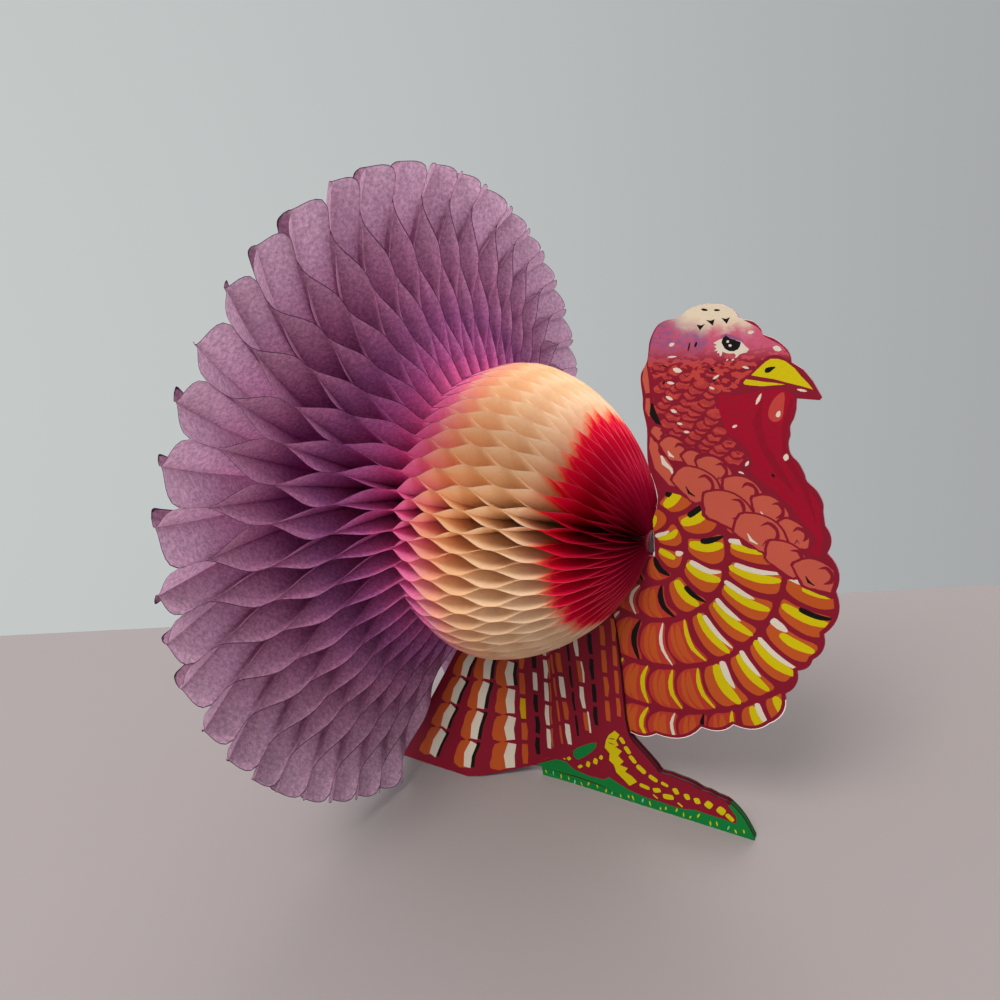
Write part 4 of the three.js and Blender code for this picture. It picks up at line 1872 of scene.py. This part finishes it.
        # Place, slope, inks in turn and width of each narrow column
        narrow = (
            (-30.4, 0.04, (Ink.ORANGE, Ink.ORANGE, Ink.AMBER), 3.0),
            (-23.3, 0.05, (Ink.BLACK, Ink.BLACK, Ink.BLACK, Ink.WHITE), 2.5),
            (-17.2, 0.05, (Ink.WHITE,), 2.5), (-15.0, 0.05, (Ink.ORANGE,), 0.9),
            (-12.6, -0.03, (Ink.ORANGE,), 1.3), (-8.6, -0.04, (Ink.WHITE, Ink.ORANGE), 3.0),
            (-3.0, -0.03, (Ink.BLACK,), 1.5), (2.0, -0.05, (Ink.ORANGE, Ink.WHITE), 2.4),
            (3.6, -0.05, (Ink.WHITE, Ink.MAROON), 1.0), (8.6, 0.0, (Ink.BLACK,), 2.4),
            (15.0, 0.0, (Ink.ORANGE,), 2.5), (20.6, 0.0, (Ink.ORANGE,), 2.1))
        for x, slope, inks, width in narrow:
            z = 5.0 + (x + 31.0) * 0.8 + chance.uniform(0, 2.5)
            number = 0
            while z < self.narrow_top:
                tall = chance.uniform(9.6, 12.0)
                sway = chance.uniform(-0.5, 0.5)
                below = self.bar_level - z
                foot, head = x - slope * below, x - slope * (below - tall)
                bar = [(foot, z), ((foot + head) / 2 + sway, z + tall / 2), (head, z + tall)]
                patches.append(Patch(inks[number % len(inks)], stroke(
                    bar, (width * chance.uniform(0.6, 0.95), width, width * 0.85))))
                number += 1
                z += tall + 2.4
        return patches

    def foot(self) -> list[Patch]:
        """Draw the scaled foot on its strip of grass.

        Returns:
            The printed areas.
        """
        chance = random.Random(self.seed + 1)
        grass = ((-27.0, 0.0), (-27.0, 5.9), (-24.0, 7.4), (-16.3, 11.5), (-10.5, 12.0),
                 (-6.1, 8.7), (2.0, 7.5), (10.0, 8.0), (13.2, 10.4), (17.9, 8.5), (23.5, 6.4),
                 (31.0, 5.2), (38.3, 5.2), (44.6, 4.9), (49.9, 5.2), (56.1, 6.7), (62.0, 6.4),
                 (67.9, 6.4), (74.4, 6.0), (74.3, 9.8), (70.9, 14.5), (72.2, 15.6), (77.0, 11.0),
                 (82.5, 3.0), (82.5, 0.0))
        leg_zigzag = (
            (17.9, 38.0), (20.2, 36.4), (18.2, 32.6), (19.4, 30.4), (17.6, 29.0), (20.9, 27.6),
            (18.8, 24.4), (21.4, 22.0), (19.4, 19.4), (23.4, 18.9), (21.8, 16.4), (25.2, 15.0),
            (27.8, 12.6), (23.7, 9.0), (20.6, 11.8), (17.2, 14.6), (16.2, 18.6), (13.9, 20.2),
            (14.4, 24.4), (12.0, 27.0), (13.0, 31.4), (14.6, 34.6))
        patches = [
            Patch(Ink.GREEN, grass),
            Patch(Ink.GREEN, smooth_loop(((-5.6, 19.6), (1.0, 25.0), (7.8, 28.4), (5.0, 22.6),
                                          (-3.6, 15.2)), 2)),
            Patch(Ink.YELLOW, leg_zigzag),
            Patch(Ink.MAROON, fleck((16.2, 33.0), 3.4, 0.7, 10)),
            Patch(Ink.MAROON, fleck((15.6, 30.2), 3.0, 0.6, -6)),
            Patch(Ink.DARK, stroke(((-22.0, 4.4), (-4.0, 4.7), (8.0, 4.0), (17.5, 1.2)),
                                   (0.15, 0.7, 0.5, 0.1))),
        ]
        # Middle, length, width and slope of each scale
        scales = (
            (21.4, 33.6, 3.2, 2.2, -58), (23.8, 29.0, 3.8, 2.4, -58), (26.2, 24.6, 4.0, 2.4, -50),
            (30.2, 20.4, 4.8, 2.8, -38), (36.0, 17.2, 4.2, 2.4, -25), (41.5, 15.8, 3.2, 1.8, -15),
            (46.8, 13.8, 3.0, 2.6, -60), (52.0, 12.6, 2.8, 2.6, -70), (56.7, 12.0, 2.8, 2.8, -70),
            (62.0, 11.8, 3.6, 3.2, 60), (67.6, 10.6, 3.8, 3.6, 60), (71.4, 8.3, 3.8, 2.4, -40),
            (31.4, 11.2, 4.6, 2.2, -8), (37.5, 11.2, 3.6, 2.4, 20), (43.0, 9.4, 4.8, 2.8, 10),
            (36.6, 7.4, 2.6, 0.8, -35), (48.6, 7.0, 2.6, 1.0, -35), (9.6, 20.6, 2.4, 1.7, 65),
            (6.4, 17.4, 3.2, 2.2, 75), (2.2, 14.4, 3.2, 2.0, 70), (-2.4, 11.6, 2.8, 1.5, 40),
            (-8.4, 14.4, 2.2, 1.7, 40), (-11.0, 13.4, 1.2, 0.7, 0))
        for x, z, length, width, slope in scales:
            path = slanted((x, z), length, slope, (-1.0, 0.0, 1.0))
            widths = (width * 0.8, width, width * 0.75)
            patches.append(Patch(Ink.YELLOW, soft_stroke(path, widths)))
        for x in range(-22, 80, 4):
            z = chance.uniform(1.4, 4.2)
            if z > 2.9 and x < 15:
                z = chance.uniform(1.2, 2.6)
            ink = chance.choice((Ink.YELLOW, Ink.YELLOW, Ink.SAGE))
            centre = (x + chance.uniform(-1, 1), z)
            blade = fleck(centre, length=chance.uniform(1.8, 2.9), width=chance.uniform(0.6, 0.9),
                          slope=chance.uniform(60, 120))
            patches.append(Patch(ink, blade))
        return patches

    def artwork(self) -> list[Patch]:
        """List everything that is printed on the card.

        Returns:
            The areas, the lowest layer first.
        """
        outline = self.outline()
        shifted = moved(outline, *self.print_shift)
        grounds = [Patch(Ink.DARK, outline), Patch(Ink.MAROON, shifted)]
        return grounds + self.bars() + self.clear_leg() + self.foot()

    def clear_leg(self) -> list[Patch]:
        """Cover the bars below the belly, where the leg and foot are plain."""
        return [Patch(Ink.MAROON, ((-27.0, 7.0), (-16.0, 13.0), (-7.0, 20.0), (6.0, 32.0),
                                   (10.0, 39.0), (24.0, 40.5), (26.0, 34.0), (33.0, 24.0),
                                   (45.0, 19.5), (60.0, 18.5), (72.0, 15.0), (80.0, 3.0),
                                   (80.0, 1.0), (-27.0, 1.0)))]


# Stage


@dataclass(frozen=True)
class Lamp:
    """Soft square lamp, in metres and watts, that points at a height over the floor's middle."""

    name: str
    place: Point3
    aim_height: float
    size: float
    power: float
    colour: str

    def build(self) -> None:
        """Place the lamp and aim it."""
        data = bpy.data.lights.new(self.name, "AREA")
        data.size = self.size
        data.energy = self.power
        data.color = linear(self.colour)[:3]
        lamp = add_object(data)
        lamp.location = self.place
        aim = Vector((0.0, 0.0, self.aim_height)) - Vector(self.place)
        lamp.rotation_euler = aim.to_track_quat("-Z", "Y").to_euler()


@dataclass
class Studio:
    """Camera at the photograph's angle, soft lamps, a floor, and a pale wall as background.

    The eye and the wall's line are in millimetres on the drawings, the rest in metres.
    """

    eye: Point3 = (157.1104, -275.164, 252.072)
    azimuth: float = math.radians(34.72578)
    pitch: float = math.radians(17.37059)
    roll: float = math.radians(-6.394717)
    focal_share: float = 0.755
    sensor_width: float = 36.0
    near_clip: float = 0.01
    floor_front: float = -3.0
    wall_line: tuple[Point2, Point2] = ((-1600.0, -582.0), (1400.0, 935.0))
    # The wall's two colours are painted light: lit at the left, in painted shade at the right.
    wall_lit_left: str = "c6cbca"
    wall_shaded_right: str = "a3a5a7"
    wall_shade_span: Span = (-0.95, 0.1)
    light_colour: str = "f2f4f6"
    light_level: float = 0.95
    lamps: tuple[Lamp, ...] = (
        Lamp("key", (0.05, -1.05, 1.55), aim_height=0.13, size=0.7, power=29.5, colour="fff8f0"),
        Lamp("fill", (-1.2, -0.8, 0.8), aim_height=0.13, size=1.4, power=6.5, colour="f4f6ff"),
        Lamp("back", (-0.2, 1.3, 1.0), aim_height=0.15, size=1.2, power=14.0, colour="fffaf4"))

    def camera(self) -> None:
        """Place the camera and make it the scene's."""
        ahead = Vector((-math.sin(self.azimuth) * math.cos(self.pitch),
                        math.cos(self.azimuth) * math.cos(self.pitch), -math.sin(self.pitch)))
        right = Vector((math.cos(self.azimuth), math.sin(self.azimuth), 0.0))
        up = right.cross(ahead)
        turned_right = right * math.cos(self.roll) + up * math.sin(self.roll)
        turned_up = up * math.cos(self.roll) - right * math.sin(self.roll)
        data = bpy.data.cameras.new("camera")
        data.sensor_fit = "HORIZONTAL"
        data.sensor_width = self.sensor_width
        data.lens = self.focal_share * self.sensor_width
        data.clip_start = self.near_clip
        camera = add_object(data)
        axes = Matrix((turned_right, turned_up, -ahead)).transposed().to_4x4()
        camera.matrix_world = Matrix.Translation(Vector(in_part(*self.eye))) @ axes
        bpy.context.scene.camera = camera

    def floor(self) -> None:
        """Lay the floor, which ends at the wall."""
        left, right = (in_part(x, y, 0.0) for x, y in self.wall_line)
        corners = ((left[0], self.floor_front, 0.0), (right[0], self.floor_front, 0.0), right, left)
        mesh = bpy.data.meshes.new("floor")
        mesh.from_pydata(corners, [], [(0, 1, 2, 3)])
        mesh.materials.append(GroundFinish().make())
        add_object(mesh)

    def background(self) -> None:
        """Light the scene from all round; behind it the far wall is a colour with painted light,
        lighter on the left and in painted shade on the right.
        """
        world = bpy.data.worlds.new("world")
        world.use_nodes = True
        nodes = Nodes(world)
        light = world.node_tree.nodes["Background"]
        light.inputs["Color"].default_value = linear(self.light_colour)
        light.inputs["Strength"].default_value = self.light_level
        # Painted shade across the wall, from the lit left colour to the darker right one.
        split = nodes.add("ShaderNodeSeparateXYZ")
        nodes.link(nodes.add("ShaderNodeTexCoord").outputs["Generated"], split.inputs[0])
        across = nodes.add("ShaderNodeMapRange", From_Min=self.wall_shade_span[0],
                           From_Max=self.wall_shade_span[1])
        nodes.link(split.outputs["X"], across.inputs["Value"])
        tint = nodes.mix(across.outputs[0], linear(self.wall_lit_left), linear(self.wall_shaded_right))
        wall = nodes.add("ShaderNodeBackground")
        nodes.link(tint, wall.inputs["Color"])
        seen = nodes.add("ShaderNodeLightPath").outputs["Is Camera Ray"]
        both = nodes.mix_shaders(seen, light.outputs[0], wall.outputs[0])
        nodes.link(both, world.node_tree.nodes["World Output"].inputs["Surface"])
        bpy.context.scene.world = world

    def build(self) -> None:
        """Build the camera, the floor up to the wall, the lamps and the background."""
        self.camera()
        self.floor()
        for lamp in self.lamps:
            lamp.build()
        self.background()
        bpy.context.scene.view_settings.view_transform = "Standard"


def main() -> None:
    """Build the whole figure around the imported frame."""
    logging.basicConfig(level=logging.INFO, format="%(name)s: %(message)s")
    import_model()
    Studio().build()
    TissueFan().build()
    Spine().dress()
    prints = PrintFinish().make()
    HeadCard().build(prints)
    LegCard(node="near_leg_card", body="near_side", middle=-1.2, side=Side.NEAR).build(prints)
    LegCard(node="far_leg_card", body="far_side", middle=1.2, side=Side.FAR).build(prints)
    LOG.info("sizes written")


if __name__ == "__main__":
    main()
